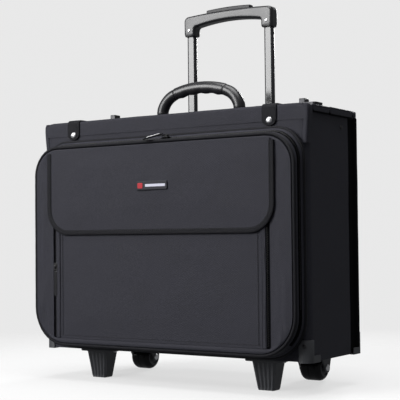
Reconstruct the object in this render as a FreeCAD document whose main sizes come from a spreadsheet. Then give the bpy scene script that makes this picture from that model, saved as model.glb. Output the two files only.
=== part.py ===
import FreeCAD, Part
import math
import os
import re

import Sketcher

# Rolling laptop case. Millimetres, +Z up. The origin is on the ground, under the middle of the case.
# The pocket side faces -Y and the telescopic handle stands behind the back, at +Y.

DRIVING_SIZES = {
    # the stiff, fabric covered body
    "case_width": 460.0,
    "case_depth": 158.0,
    "case_height": 338.0,
    "case_front": -74.3,
    "ground_gap": 45.0,
    "wall": 4.0,
    "corner_round": 10.0,
    "skin_gap": 0.3,
    "board": 3.0,
    "divider_setback": 45.0,
    "divider_thickness": 8.0,
    "divider_high": 315.0,
    # top flaps
    "lid_rise": 8.0,
    "flap_board": 6.0,
    "flap_overhang": 2.5,
    "lip_drop": 6.0,
    "front_flap_depth": 61.5,
    "rear_strip_depth": 18.0,
    # front pocket
    "pocket_depth": 31.0,
    "cord_size": 5.4,
    "pocket_half_width": 224.0,
    "pocket_low": 54.0,
    "pocket_high": 348.5,
    "pocket_round_low": 55.0,
    "pocket_round_high": 42.0,
    "cloth": 2.0,
    "zip_plane": 15.0,
    # accessory pocket and its flap
    "window_half_width": 189.0,
    "window_high": 341.0,
    "accessory_half_width": 179.0,
    "accessory_high": 327.0,
    "zip_offset": 184.0,
    "flap_half_width": 198.0,
    "flap_low": 217.0,
    "flap_high": 345.0,
    "flap_round": 40.0,
    "flap_cloth": 3.2,
    "binding_width": 8.0,
    # straps, rivets, guards
    "strap_offset": 173.0,
    "strap_width": 22.0,
    "guard_skin": 1.5,
    "guard_height": 29.0,
    "guard_width": 17.5,
    "guard_depth": 11.5,
    "guard_tongue_depth": 29.5,
    "guard_tongue_height": 8.0,
    "rivet_radius": 5.0,
    "rivet_height": 2.2,
    # carry handle and locks
    "handle_offset": 90.0,
    "handle_top": 439.0,
    "grip_bend": 155.0,
    "leg_bend": 36.0,
    "handle_radius": 9.0,
    "pivot_offset": 71.0,
    "pivot_radius": 2.0,
    "lock_offset": 172.0,
    "lock_setback": 101.0,
    "lock_half": 25.0,
    "lock_half_depth": 13.0,
    "lock_height": 12.0,
    "knob_half": 4.5,
    "pivot_rise": 8.0,
    "eye_radius": 5.5,
    # feet and wheels
    "foot_offset": 147.5,
    "foot_setback": 33.5,
    "foot_top_half": 19.0,
    "foot_top_depth": 15.5,
    "foot_sole_half": 13.3,
    "foot_sole_depth": 10.2,
    "foot_flange": 5.0,
    "wheel_offset": 155.0,
    "wheel_setback": 154.5,
    "wheel_radius": 19.5,
    "tyre_width": 36.0,
    "tread_round": 9.0,
    "axle_radius": 3.0,
    # telescopic handle
    "tube_offset": 72.0,
    "tube_setback": 177.0,
    "tube_width": 22.0,
    "tube_thickness": 15.0,
    "tube_wall": 1.2,
    "tube_step": 1.5,
    "grip_low": 537.0,
    "grip_bar_height": 16.0,
    "grip_depth": 20.0,
    "button_half": 41.0,
    "button_travel": 4.5,
    "running_gap": 0.05,
}


class Size:
    """A length that knows both its number and the spreadsheet formula it comes from."""

    def __init__(self, value, formula):
        self.value = value
        self.formula = formula

    def __add__(self, other):
        other = as_size(other)
        return Size(self.value + other.value, f"({self.formula} + {other.formula})")

    def __sub__(self, other):
        other = as_size(other)
        return Size(self.value - other.value, f"({self.formula} - {other.formula})")

    def __mul__(self, other):
        other = as_size(other)
        return Size(self.value * other.value, f"({self.formula} * {other.formula})")

    def __truediv__(self, other):
        other = as_size(other)
        return Size(self.value / other.value, f"({self.formula} / {other.formula})")

    def __radd__(self, other):
        return as_size(other) + self

    def __rsub__(self, other):
        return as_size(other) - self

    def __rmul__(self, other):
        return as_size(other) * self

    def __neg__(self):
        return Size(-self.value, f"(0 - {self.formula})")


def as_size(number):
    """Wrap a plain number, so that sizes and numbers mix in one sum."""
    if isinstance(number, Size):
        return number
    return Size(float(number), f"({float(number)!r})")


def make_sheet(document):
    """Write the driving sizes into a spreadsheet and return them as linked sizes."""
    sheet = document.addObject("Spreadsheet::Sheet", "Sizes")
    linked = {}
    for row, (alias, value) in enumerate(DRIVING_SIZES.items(), start=1):
        sheet.set(f"A{row}", alias)
        sheet.set(f"B{row}", str(value))
        sheet.setAlias(f"B{row}", alias)
        linked[alias] = Size(value, f"Sizes.{alias}")
    document.recompute()
    return linked


doc = FreeCAD.newDocument("RollingCase")
s = make_sheet(doc)
nodes = {}

# Planes and levels that the pieces share.
half_width = s["case_width"] / 2
front = s["case_front"]
back = front + s["case_depth"]
floor = s["ground_gap"]
rim = floor + s["case_height"]
top = rim + s["lid_rise"]
X_AXIS = FreeCAD.Vector(1, 0, 0)
Y_AXIS = FreeCAD.Vector(0, 1, 0)
Z_AXIS = FreeCAD.Vector(0, 0, 1)
FACING_FRONT = FreeCAD.Rotation(X_AXIS, 90)
FACING_BACK = FreeCAD.Rotation(X_AXIS, -90)
FACING_RIGHT = FreeCAD.Rotation(Y_AXIS, 90)
FACING_LEFT = FreeCAD.Rotation(Y_AXIS, -90)
FACING_UP = FreeCAD.Rotation()
FACING_DOWN = FreeCAD.Rotation(X_AXIS, 180)
SIDES = {"left": -1, "right": 1}


# ---------------------------------------------------------------- building helpers

def bind(thing, prop, size):
    """Tie a property to the spreadsheet."""
    thing.setExpression(prop, as_size(size).formula)


def place(thing, position, rotation=FACING_UP):
    """Turn a piece and tie its position to the spreadsheet."""
    base = FreeCAD.Vector(*[as_size(value).value for value in position])
    thing.Placement = FreeCAD.Placement(base, rotation)
    for axis, value in zip("xyz", position):
        bind(thing, f"Placement.Base.{axis}", value)
    return thing


def node(label, thing):
    """Name a finished sub-part, which also names its file."""
    thing.Label = label
    nodes[label] = thing
    return thing


def block(low, high):
    """A box between two corners."""
    solid = doc.addObject("Part::Box", "Block")
    for prop, near, far in zip(("Length", "Width", "Height"), low, high):
        bind(solid, prop, as_size(far) - near)
    return place(solid, low)


def rod(radius, length, start, rotation=FACING_UP):
    """A cylinder that starts at a point and runs the way its rotation faces."""
    solid = doc.addObject("Part::Cylinder", "Rod")
    bind(solid, "Radius", radius)
    bind(solid, "Height", length)
    return place(solid, start, rotation)


def dome(radius, height, start, rotation):
    """Half an ellipsoid on a flat base: a rivet or screw head."""
    solid = doc.addObject("Part::Ellipsoid", "Dome")
    bind(solid, "Radius1", height)
    bind(solid, "Radius2", radius)
    solid.Angle1 = 0
    solid.Angle2 = 90
    return place(solid, start, rotation)


def cut(base, *tools):
    """Take each tool out of the base."""
    result = base
    for tool in tools:
        step = doc.addObject("Part::Cut", "Cut")
        step.Base = result
        step.Tool = tool
        result = step
    return result


def common(base, tool):
    """Keep what two solids share."""
    step = doc.addObject("Part::Common", "Common")
    step.Base = base
    step.Tool = tool
    return step


def fuse(*parts):
    """Join solids into one piece."""
    step = doc.addObject("Part::MultiFuse", "Fuse")
    step.Shapes = list(parts)
    step.Refine = True
    return step


def group(*parts):
    """Keep solids separate, but in one node."""
    step = doc.addObject("Part::Compound", "Group")
    step.Links = list(parts)
    return step


def soften(base, radius, keep=lambda edge: True):
    """Round the edges of a Part solid that the test keeps."""
    doc.recompute()
    step = doc.addObject("Part::Fillet", "Soft")
    step.Base = base
    chosen = [index for index, edge in enumerate(base.Shape.Edges, start=1) if keep(edge)]
    step.Edges = [(index, radius, radius) for index in chosen]
    return step


def new_body(position=(0, 0, 0), rotation=FACING_UP):
    """An empty PartDesign body at a bound position."""
    body = doc.addObject("PartDesign::Body", "Piece")
    return place(body, position, rotation)


def new_sketch(body, role, offset=0):
    """A sketch on one of the body's own origin planes, moved along its normal by the offset."""
    sketch = body.newObject("Sketcher::SketchObject", "Outline")
    plane = next(item for item in body.Origin.OriginFeatures if item.Role == role)
    sketch.AttachmentSupport = [(plane, "")]
    sketch.MapMode = "FlatFace"
    bind(sketch, "AttachmentOffset.Base.z", offset)
    return sketch


def dimension(sketch, name, kind, where, size):
    """Add one named dimension to a sketch and tie it to the spreadsheet."""
    index = sketch.addConstraint(Sketcher.Constraint(kind, *where, as_size(size).value))
    sketch.renameConstraint(index, name)
    bind(sketch, f"Constraints.{name}", size)


def draw_round_box(sketch, half, low, high, round_low, round_high, name="outer"):
    """A rectangle with rounded corners, symmetrical about the sketch's vertical axis."""
    half, low, high, round_low, round_high = map(as_size, (half, low, high, round_low, round_high))
    side, bottom, ceiling = half.value, low.value, high.value
    small, large = round_low.value, round_high.value
    right, up = FreeCAD.Vector(1, 0, 0), FreeCAD.Vector(0, 1, 0)

    def line(start, end):
        return sketch.addGeometry(Part.LineSegment(FreeCAD.Vector(*start), FreeCAD.Vector(*end)))

    def corner(centre, radius, begin):
        circle = Part.Circle(FreeCAD.Vector(*centre), right.cross(up), radius)
        return sketch.addGeometry(Part.ArcOfCircle(circle, math.radians(begin), math.radians(begin + 90)))

    lower = line((small - side, bottom), (side - small, bottom))
    lower_right = corner((side - small, bottom + small), small, 270)
    right_side = line((side, bottom + small), (side, ceiling - large))
    upper_right = corner((side - large, ceiling - large), large, 0)
    upper = line((side - large, ceiling), (large - side, ceiling))
    upper_left = corner((large - side, ceiling - large), large, 90)
    left_side = line((-side, ceiling - large), (-side, bottom + small))
    lower_left = corner((small - side, bottom + small), small, 180)
    loop = [lower, lower_right, right_side, upper_right, upper, upper_left, left_side, lower_left]
    for this, following in zip(loop, loop[1:] + loop[:1]):
        sketch.addConstraint(Sketcher.Constraint("Tangent", this, 2, following, 1))
    sketch.addConstraint(Sketcher.Constraint("Horizontal", upper))
    for upright in (right_side, left_side):
        sketch.addConstraint(Sketcher.Constraint("Vertical", upright))
    sketch.addConstraint(Sketcher.Constraint("Equal", lower_right, lower_left))
    sketch.addConstraint(Sketcher.Constraint("Equal", upper_right, upper_left))
    sketch.addConstraint(Sketcher.Constraint("Symmetric", lower, 1, lower, 2, -2))
    dimension(sketch, f"{name}_width", "DistanceX", (left_side, 2, right_side, 1), 2 * half)
    dimension(sketch, f"{name}_low", "DistanceY", (-1, 1, lower, 1), low)
    dimension(sketch, f"{name}_tall", "DistanceY", (lower, 2, upper, 1), high - low)
    dimension(sketch, f"{name}_round_low", "Radius", (lower_right,), round_low)
    dimension(sketch, f"{name}_round_high", "Radius", (upper_right,), round_high)


def draw_polygon(sketch, points):
    """A closed outline through points, each tied to the sheet by its distances from the origin."""
    corners = [FreeCAD.Vector(as_size(x).value, as_size(y).value) for x, y in points]
    lines = [
        sketch.addGeometry(Part.LineSegment(start, end))
        for start, end in zip(corners, corners[1:] + corners[:1])
    ]
    for index, line in enumerate(lines):
        following = lines[(index + 1) % len(lines)]
        sketch.addConstraint(Sketcher.Constraint("Coincident", line, 2, following, 1))
    for index, (line, (x, y)) in enumerate(zip(lines, points)):
        dimension(sketch, f"across_{index}", "DistanceX", (-1, 1, line, 1), x)
        dimension(sketch, f"along_{index}", "DistanceY", (-1, 1, line, 1), y)


def pad(body, sketch, length, backwards=False):
    """Give a sketch its thickness."""
    feature = body.newObject("PartDesign::Pad", "Pad")
    feature.Profile = sketch
    feature.Reversed = backwards
    bind(feature, "Length", length)
    sketch.Visibility = False
    return feature


def slab(role, outline, length, position, backwards=False, hole=None):
    """A rounded rectangle given thickness, with a smaller one taken out of it if there is a hole."""
    body = new_body(position)
    sketch = new_sketch(body, role)
    draw_round_box(sketch, *outline)
    if hole:
        draw_round_box(sketch, *hole, name="inner")
    pad(body, sketch, length, backwards)
    return body


def round_all_edges(body, radius):
    """Round every edge of a body's last feature."""
    doc.recompute()
    last = body.Tip
    feature = body.newObject("PartDesign::Fillet", "Rounded")
    feature.Base = (last, [""])
    feature.UseAllEdges = True
    bind(feature, "Radius", radius)
    return body


def mirrored_pair(make):
    """The left and the right copy of a piece that a function makes for one side."""
    return [make(sign) for sign in SIDES.values()]


def span(sign, centre, half, low, high):
    """The two corners of a box centred at sign * centre across the case."""
    middle = sign * as_size(centre)
    return (middle - half, low[0], low[1]), (middle + half, high[0], high[1])


# ---------------------------------------------------------------- the stiff body

def case_outline(offset, radius):
    """The body's plan, grown or shrunk by an offset."""
    return (half_width + offset, front - offset, back + offset, radius, radius)


def make_walls():
    """Front, back and two side walls. The side walls wrap round the vertical corners."""
    ring = slab(
        "XY_Plane",
        case_outline(0, s["corner_round"]),
        s["case_height"],
        (0, 0, floor),
        hole=case_outline(-s["wall"], s["corner_round"] - s["wall"]),
    )
    seam = half_width - s["corner_round"]
    middle = front + s["case_depth"] / 2
    node("front_panel", common(ring, block((-seam, front, floor), (seam, middle, rim))))
    node("rear_panel", common(ring, block((-seam, middle, floor), (seam, back, rim))))
    node("side_panel_left", common(ring, block((-half_width, front, floor), (-seam, back, rim))))
    node("side_panel_right", common(ring, block((seam, front, floor), (half_width, back, rim))))


def make_floor():
    """The sewn-in bottom and the stiff board that lies on it."""
    gap = s["wall"] + s["skin_gap"]
    inner_round = s["corner_round"] - s["wall"]
    bottom = slab("XY_Plane", case_outline(-gap, inner_round), s["wall"], (0, 0, floor))
    node("bottom_panel", bottom)
    board_round = inner_round - 1
    board = slab(
        "XY_Plane",
        case_outline(-gap - s["board"], board_round),
        s["board"],
        (0, 0, floor + s["wall"]),
    )
    node("base_board", board)


def make_divider():
    """The padded wall of the laptop compartment, behind the front panel."""
    thick = s["divider_thickness"]
    side_gap = 2
    low_round = 4
    high_round = 20
    seat = floor + s["wall"] + s["board"] + 0.5
    outline = (half_width - s["wall"] - side_gap, seat, s["divider_high"], low_round, high_round)
    node(
        "laptop_divider",
        slab("XZ_Plane", outline, thick, (0, front + s["divider_setback"] + thick, 0)),
    )


def make_guards():
    """Moulded guards on the four bottom corners, with a short tongue along each side."""
    skin = s["guard_skin"]
    tall = s["guard_height"]
    shell = cut(
        slab(
            "XY_Plane",
            case_outline(skin, s["corner_round"] + skin),
            tall + skin,
            (0, 0, floor - skin),
        ),
        slab("XY_Plane", case_outline(0, s["corner_round"]), tall + skin, (0, 0, floor)),
    )
    reach = half_width + skin
    pieces = []
    for sign in SIDES.values():
        for face, inward in ((front - skin, 1), (back + skin, -1)):
            spot = (sign, reach, s["guard_width"], face, inward)
            upright = corner_block(*spot, s["guard_depth"], floor - skin, floor + tall)
            tongue_high = floor + s["guard_tongue_height"]
            tongue = corner_block(*spot, s["guard_tongue_depth"], floor - skin, tongue_high)
            pieces.append(common(shell, fuse(upright, tongue)))
    node("corner_guards", group(*pieces))


def corner_block(sign, reach, width, face, inward, depth, low, high):
    """A box in one bottom corner: so wide, and so deep from the front or the back face."""
    sides = sorted((sign * reach, sign * (reach - width)), key=lambda size: size.value)
    faces = sorted((face, face + inward * depth), key=lambda size: size.value)
    return block((sides[0], faces[0], low), (sides[1], faces[1], high))


def make_body_rivets():
    """Domed rivets: one on each strap and side wall, and a small one on each corner guard."""
    large = []
    small = []
    radius, rise = s["rivet_radius"], s["rivet_height"]
    strap_level = rim - 13
    side_level = rim - 18
    guard_level = floor + 21
    from_corner = 7.5
    skin = s["guard_skin"]
    for sign in SIDES.values():
        sideways = FACING_RIGHT if sign > 0 else FACING_LEFT
        strap_point = (sign * s["strap_offset"], front - s["cloth"], strap_level)
        large.append(dome(radius, rise, strap_point, FACING_FRONT))
        side_point = (sign * half_width, front + s["lock_setback"], side_level)
        large.append(dome(0.9 * radius, 0.9 * rise, side_point, sideways))
        for face, facing in ((front - skin, FACING_FRONT), (back + skin, FACING_BACK)):
            guard_point = (sign * (half_width - from_corner), face, guard_level)
            small.append(dome(0.6 * radius, 0.6 * rise, guard_point, facing))
    node("case_rivets", group(*large))
    node("corner_rivets", group(*small))


# ---------------------------------------------------------------- top flaps, straps and locks

def make_lid():
    """Two top flaps that meet in the middle, and the fixed strip behind them."""
    overhang = s["flap_overhang"]
    blank = slab(
        "XY_Plane",
        (half_width + overhang, front + s["skin_gap"], back, s["corner_round"], s["corner_round"]),
        s["lid_rise"],
        (0, 0, rim),
    )
    wide = half_width + overhang
    underside = top - s["flap_board"]
    front_flap_end = front + s["front_flap_depth"]
    rear_flap_start = front_flap_end + 1
    strip_start = back - s["rear_strip_depth"]
    rear_flap_end = strip_start - 0.5

    def lips(start, end):
        inner = half_width + s["skin_gap"]
        depth = underside - s["lip_drop"]
        return [
            block((inner, start, depth), (wide, end, underside + 1)),
            block((-wide, start, depth), (-inner, end, underside + 1)),
        ]

    front_board = common(blank, block((-wide, front, underside), (wide, front_flap_end, top)))
    node("front_flap", fuse(front_board, *lips(front + 12, front_flap_end)))
    rear_board = block((-wide, rear_flap_start, underside), (wide, rear_flap_end, top))
    node("rear_flap", fuse(rear_board, *lips(rear_flap_start, strip_start - 8)))
    strip = common(blank, block((-half_width, strip_start, rim), (half_width, back, top)))
    node("rear_top_strip", strip)


def make_straps():
    """Hinge straps: riveted to the front wall below, and to the front flap above."""
    half = s["strap_width"] / 2
    cloth = s["cloth"]
    lower = (half, rim - 20, top - 3, 10, 1)
    upper = (half, 1, 32, 1, 10)

    def lower_strap(sign):
        return slab("XZ_Plane", lower, cloth, (sign * s["strap_offset"], front, 0))

    def upper_strap(sign):
        return slab("XY_Plane", upper, cloth, (sign * s["strap_offset"], front, top))

    def upper_rivet(sign):
        centre = (sign * s["strap_offset"], front + 20, top + cloth)
        return dome(s["rivet_radius"], s["rivet_height"], centre, FACING_UP)

    node("hinge_straps", group(*mirrored_pair(lower_strap)))
    node("flap_straps", group(*mirrored_pair(upper_strap), *mirrored_pair(upper_rivet)))


def make_locks():
    """Two slide locks on the rear flap, and their strike plates on the front flap."""
    middle = front + s["lock_setback"]
    housing_top = top + s["lock_height"]
    half_depth = s["lock_half_depth"]
    knob_half = s["knob_half"]
    bodies = []
    strikes = []
    for side, sign in SIDES.items():
        centre = sign * s["lock_offset"]
        outline = (s["lock_half"], -half_depth, half_depth, 5, 5)
        housing = slab("XY_Plane", outline, s["lock_height"], (centre, middle, top))
        near, far = sorted((centre - sign * 5.2, centre + sign * 11.5), key=lambda size: size.value)
        slot = block((near, middle - 4.3, top + 5), (far, middle + 4.3, housing_top + 1))
        bodies.append(cut(housing, slot))
        stem = block(
            (centre - knob_half, middle - 4, top + 5.4),
            (centre + knob_half, middle + 4, housing_top + 6),
        )
        knob = block(
            (centre - knob_half, middle - 7, housing_top + 0.6),
            (centre + knob_half, middle + 7, housing_top + 7),
        )
        node(f"lock_slide_{side}", soften(fuse(stem, knob), 1, lambda edge: edge.CenterOfMass.z > 409))
        plate = slab("XY_Plane", (15, -8, 8, 2, 2), 2, (centre, front + 50, top))
        keyhole = block((centre - 6, front + 46, top - 1), (centre + 6, front + 51, top + 3))
        strikes.append(cut(plate, keyhole))
    node("lock_bodies", group(*bodies))
    node("lock_strikes", group(*strikes))


# ---------------------------------------------------------------- carry handle

def make_handle():
    """The arched grip, its two legs, and the brackets and pins that they swing on."""
    middle = front + s["handle_offset"]
    pivot_height = top + s["pivot_rise"]
    eye_radius = s["eye_radius"]
    pivot = s["pivot_offset"]
    bore = s["pivot_radius"] + s["running_gap"]
    grip_centre = s["handle_top"] - s["grip_bend"]
    joint_angle = 17.1
    end_angle = 72.0
    offset = s["grip_bend"] - s["leg_bend"]
    leg_x = offset * math.sin(math.radians(joint_angle))
    leg_z = grip_centre + offset * math.cos(math.radians(joint_angle))

    def bend(radius, thickness, centre, begin, sweep):
        ring = doc.addObject("Part::Torus", "Bend")
        bind(ring, "Radius1", radius)
        bind(ring, "Radius2", thickness)
        ring.Angle3 = sweep
        # The ring's own plane is turned upright, and its start is turned to the given angle.
        turn = FACING_FRONT.multiply(FreeCAD.Rotation(Z_AXIS, begin))
        return place(ring, centre, turn)

    node(
        "handle_grip",
        bend(s["grip_bend"], s["handle_radius"], (0, middle, grip_centre), 90 - joint_angle, 2 * joint_angle),
    )
    legs = []
    brackets = []
    pins = []
    for sign in SIDES.values():
        x = sign * pivot
        sweep = end_angle - joint_angle - 0.2
        begin = 90 - end_angle if sign > 0 else 90 + joint_angle + 0.2
        tube = bend(s["leg_bend"], s["handle_radius"] - 0.5, (sign * leg_x, middle, leg_z), begin, sweep)
        eye = rod(eye_radius, eye_radius * 2, (x - eye_radius, middle, pivot_height), FACING_RIGHT)
        neck = block(
            (x - eye_radius, middle - eye_radius, pivot_height),
            (x + eye_radius, middle + eye_radius, pivot_height + 12),
        )
        hole = rod(bore, 30, (x - 15, middle, pivot_height), FACING_RIGHT)
        legs.append(cut(fuse(tube, eye, neck), hole))
        base = slab("XY_Plane", (15, -12, 12, 4, 4), 2, (x, middle, top))
        ears = []
        for near in (x - 8.5, x + 6):
            ears.append(rod(4.5, 2.5, (near, middle, pivot_height), FACING_RIGHT))
            ears.append(block((near, middle - 4.5, top + 1), (near + 2.5, middle + 4.5, pivot_height)))
        ear_hole = rod(bore, 30, (x - 15, middle, pivot_height), FACING_RIGHT)
        brackets.append(cut(fuse(base, *ears), ear_hole))
        pins.append(rod(s["pivot_radius"], 17, (x - 8.5, middle, pivot_height), FACING_RIGHT))
    node("handle_legs", group(*legs))
    node("handle_mounts", group(*brackets))
    node("handle_pins", group(*pins))


# ---------------------------------------------------------------- front pocket

def pocket_outline(depth, inset=0):
    """The pocket's outline at a depth in front of the case: its top slopes down towards the front."""
    share = depth / s["pocket_depth"]
    half = s["pocket_half_width"] + 2.5 - 2 * share
    low = s["pocket_low"] - 6 + 6 * share
    high = s["pocket_high"] + 12 - 12 * share
    return (
        half - inset,
        low + inset,
        high - inset,
        s["pocket_round_low"] - inset,
        s["pocket_round_high"] - inset,
    )


def ring_slab(near, far, outer_inset, inner_inset):
    """A flat ring between two depths, inside the pocket's outline at the far one."""
    return slab(
        "XZ_Plane",
        pocket_outline(far, outer_inset),
        as_size(far) - near,
        (0, front - near, 0),
        hole=pocket_outline(far, inner_inset),
    )


def gusset(near, far, turn_depth, turn_end):
    """A soft wall that runs right round the pocket, turned in behind the piping at one edge."""
    body = new_body((0, front, 0))
    cloth = s["cloth"]
    for kind, inset in (("AdditiveLoft", 0), ("SubtractiveLoft", cloth)):
        sketches = []
        for depth in (near, far):
            sketch = new_sketch(body, "XZ_Plane", depth)
            draw_round_box(sketch, *pocket_outline(depth, inset))
            sketch.Visibility = False
            sketches.append(sketch)
        loft = body.newObject(f"PartDesign::{kind}", "Wall")
        loft.Profile = sketches[0]
        loft.Sections = [sketches[1]]
        loft.Ruled = True
    behind_cord = s["cord_size"] / 2 + s["skin_gap"]
    step = ring_slab(turn_depth, turn_depth + 1, 0.4, behind_cord + cloth)
    if turn_end.value < turn_depth.value:
        hem = ring_slab(turn_end, turn_depth + 0.5, behind_cord, behind_cord + cloth)
    else:
        hem = ring_slab(turn_depth + 0.5, turn_end, behind_cord, behind_cord + cloth)
    return fuse(body, step, hem)


def piping(depth):
    """A covered cord sewn round the pocket's edge."""
    size = s["cord_size"]
    half, low, high, round_low, round_high = pocket_outline(depth)
    outer = (half + size / 2, low - size / 2, high + size / 2, round_low + size / 2, round_high + size / 2)
    inner = (half - size / 2, low + size / 2, high - size / 2, round_low - size / 2, round_high - size / 2)
    body = slab("XZ_Plane", outer, size, (0, front - depth + size / 2, 0), hole=inner)
    return round_all_edges(body, size / 2 - 0.1)


def make_pocket():
    """The main front pocket: a fixed rear half and a front half that tilts open at the zip."""
    cord = s["cord_size"]
    zip_gap = 2
    zip_plane = s["zip_plane"]
    face = s["pocket_depth"]
    cloth = s["cloth"]
    rear_cord = cord / 2 + s["guard_skin"] + 0.1
    front_cord = face - cord / 2
    rear_edge = rear_cord + cord / 2 + 0.1
    front_edge = front_cord - cord / 2 - 0.1
    node("rear_piping", piping(rear_cord))
    node(
        "pocket_rear_gusset",
        gusset(rear_edge, zip_plane - zip_gap - s["skin_gap"], rear_edge, as_size(0)),
    )
    node(
        "pocket_front_gusset",
        gusset(zip_plane + zip_gap, front_edge, front_edge - 1, face - cloth),
    )
    node("front_piping", piping(front_cord))

    half, low, high, round_low, round_high = pocket_outline(front_cord, cord / 2 + s["skin_gap"])
    outline = (half, low, high, round_low, round_high)
    panel = slab("XZ_Plane", outline, cloth, (0, front - face + cloth, 0))
    window_low = low + 7
    window = block(
        (-s["window_half_width"], front - face - 1, window_low),
        (s["window_half_width"], front, s["window_high"]),
    )
    node("pocket_front_panel", cut(panel, window))
    node("accessory_lining", slab("XZ_Plane", outline, cloth, (0, front - face + 9, 0)))
    sheet_outline = (s["accessory_half_width"], window_low + 0.3, s["accessory_high"], 3, 3)
    node("accessory_panel", slab("XZ_Plane", sheet_outline, cloth, (0, front - face + cloth, 0)))
    return window_low


def make_main_zip():
    """The zip between the two halves of the pocket, with its slider and long pull."""
    zip_plane = s["zip_plane"]
    chain_half = 1.6
    outer = pocket_outline(zip_plane)
    inner = pocket_outline(zip_plane, 1.5)
    chain = slab("XZ_Plane", outer, 2 * chain_half, (0, front - zip_plane + chain_half, 0), hole=inner)
    gap = block((-300, front - 40, 0), (300, front, s["pocket_low"] + 60))
    node("main_zip_chain", cut(chain, gap))
    chain_top = outer[2]
    slider_x = 12
    seat = chain_top + s["skin_gap"]
    centre = front - zip_plane
    shoe = block((slider_x - 6, centre - 6, seat), (slider_x + 6, centre + 2, seat + 3))
    bridge = block((slider_x - 4, centre - 1.2, seat + 2.5), (slider_x + 4, centre + 1.2, seat + 5.5))
    node("main_zip_slider", fuse(soften(shoe, 1.2, lambda edge: edge.Length < 5), bridge))
    # The pull starts beside the slider's bridge, drapes over the front piping and points to the left.
    pull = slab("XY_Plane", (4.5, 0, 30, 2, 4), 1.8, (0, 0, 0))
    heading = FreeCAD.Rotation(Z_AXIS, 131)
    droop = FreeCAD.Rotation(X_AXIS, -16)
    place(pull, (slider_x - 3.5, centre - 3.0, seat + 4.2), heading.multiply(droop))
    node("main_zip_pull", pull)


def make_side_zips(window_low):
    """The two upright zips of the accessory pocket, with a slider and a pull on each."""
    surface = front - s["pocket_depth"]
    heights = {"left": floor + 125, "right": floor + 233}
    chains = []
    for side, sign in SIDES.items():
        centre = sign * s["zip_offset"]
        tape = block(
            (centre - 4.6, surface + 0.8, window_low + 0.3),
            (centre + 4.6, surface + 1.8, s["window_high"] - 0.3),
        )
        teeth = block(
            (centre - 1.6, surface, window_low + 2),
            (centre + 1.6, surface + 1, s["window_high"] - 2),
        )
        chains.append(fuse(tape, teeth))
        height = heights[side]
        shoe = block((centre - 4, surface - 2, height - 6), (centre + 4, surface - 0.3, height + 6))
        node(f"side_zip_slider_{side}", soften(shoe, 1.5, lambda edge: edge.Length < 3))
        pull = slab("XZ_Plane", (3.2, -38, 0, 3, 2), 1.3, (centre, surface - 0.4, height - 6.6))
        node(f"side_zip_pull_{side}", pull)
    node("side_zips", group(*chains))


def make_pocket_flap():
    """The flap over the accessory pocket, with its edge binding and a plain badge."""
    underside = front - s["pocket_depth"] - s["skin_gap"]
    bind_width = s["binding_width"]
    half, low, high = s["flap_half_width"], s["flap_low"], s["flap_high"]
    corner = s["flap_round"]
    inner = (half - bind_width, low + bind_width, high - 0.5, corner - bind_width, 3)
    cloth = slab("XZ_Plane", inner, s["flap_cloth"], (0, underside, 0))
    ring = slab(
        "XZ_Plane",
        (half, low, high, corner, 3),
        s["flap_cloth"] + 0.6,
        (0, underside, 0),
        hole=(half - bind_width + 0.05, low + bind_width - 0.05, high - 0.45, corner - bind_width, 3),
    )

    def channel(sign):
        """Room behind the flap for a zip slider."""
        corners = span(
            sign, s["zip_offset"], 6, (underside - 2, low - 5), (underside + 1, high - 12)
        )
        return block(*corners)

    node("pocket_flap", cut(cloth, *mirrored_pair(channel)))
    node("flap_binding", cut(ring, *mirrored_pair(channel)))
    badge_outline = (27, 280, 293, 2, 2)
    badge = slab("XZ_Plane", badge_outline, 1.8, (0, underside - s["flap_cloth"], 0))
    node("badge", badge)


# ---------------------------------------------------------------- feet and wheels

def make_feet():
    """Two tapered feet under the front, each with a screwed flange."""
    feet = []
    screws = []
    flange = s["foot_flange"]
    corner = 3
    sole = (s["foot_sole_half"], s["foot_sole_depth"])
    root = (s["foot_top_half"], s["foot_top_depth"])
    plate_half = s["foot_top_half"] + 11
    plate_depth = s["foot_top_depth"] + 2.5
    for sign in SIDES.values():
        x = sign * s["foot_offset"]
        y = front + s["foot_setback"]
        outline = (plate_half, -plate_depth, plate_depth, 2 * corner, 2 * corner)
        plate = slab("XY_Plane", outline, flange, (x, y, floor - flange))
        leg = new_body((x, y, 0))
        sections = []
        for height, (half, deep) in ((0, sole), (floor - flange, root)):
            sketch = new_sketch(leg, "XY_Plane", height)
            draw_round_box(sketch, half, -deep, deep, corner, corner)
            sketch.Visibility = False
            sections.append(sketch)
        loft = leg.newObject("PartDesign::AdditiveLoft", "Leg")
        loft.Profile = sections[0]
        loft.Sections = [sections[1]]
        loft.Ruled = True
        feet.append(fuse(plate, leg))
        for side in SIDES.values():
            shift = side * (plate_half - 5.5)
            screws.append(dome(3.5, 2, (x + shift, y, floor - flange), FACING_DOWN))
    node("feet", group(*feet))
    node("foot_screws", group(*screws))


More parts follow.
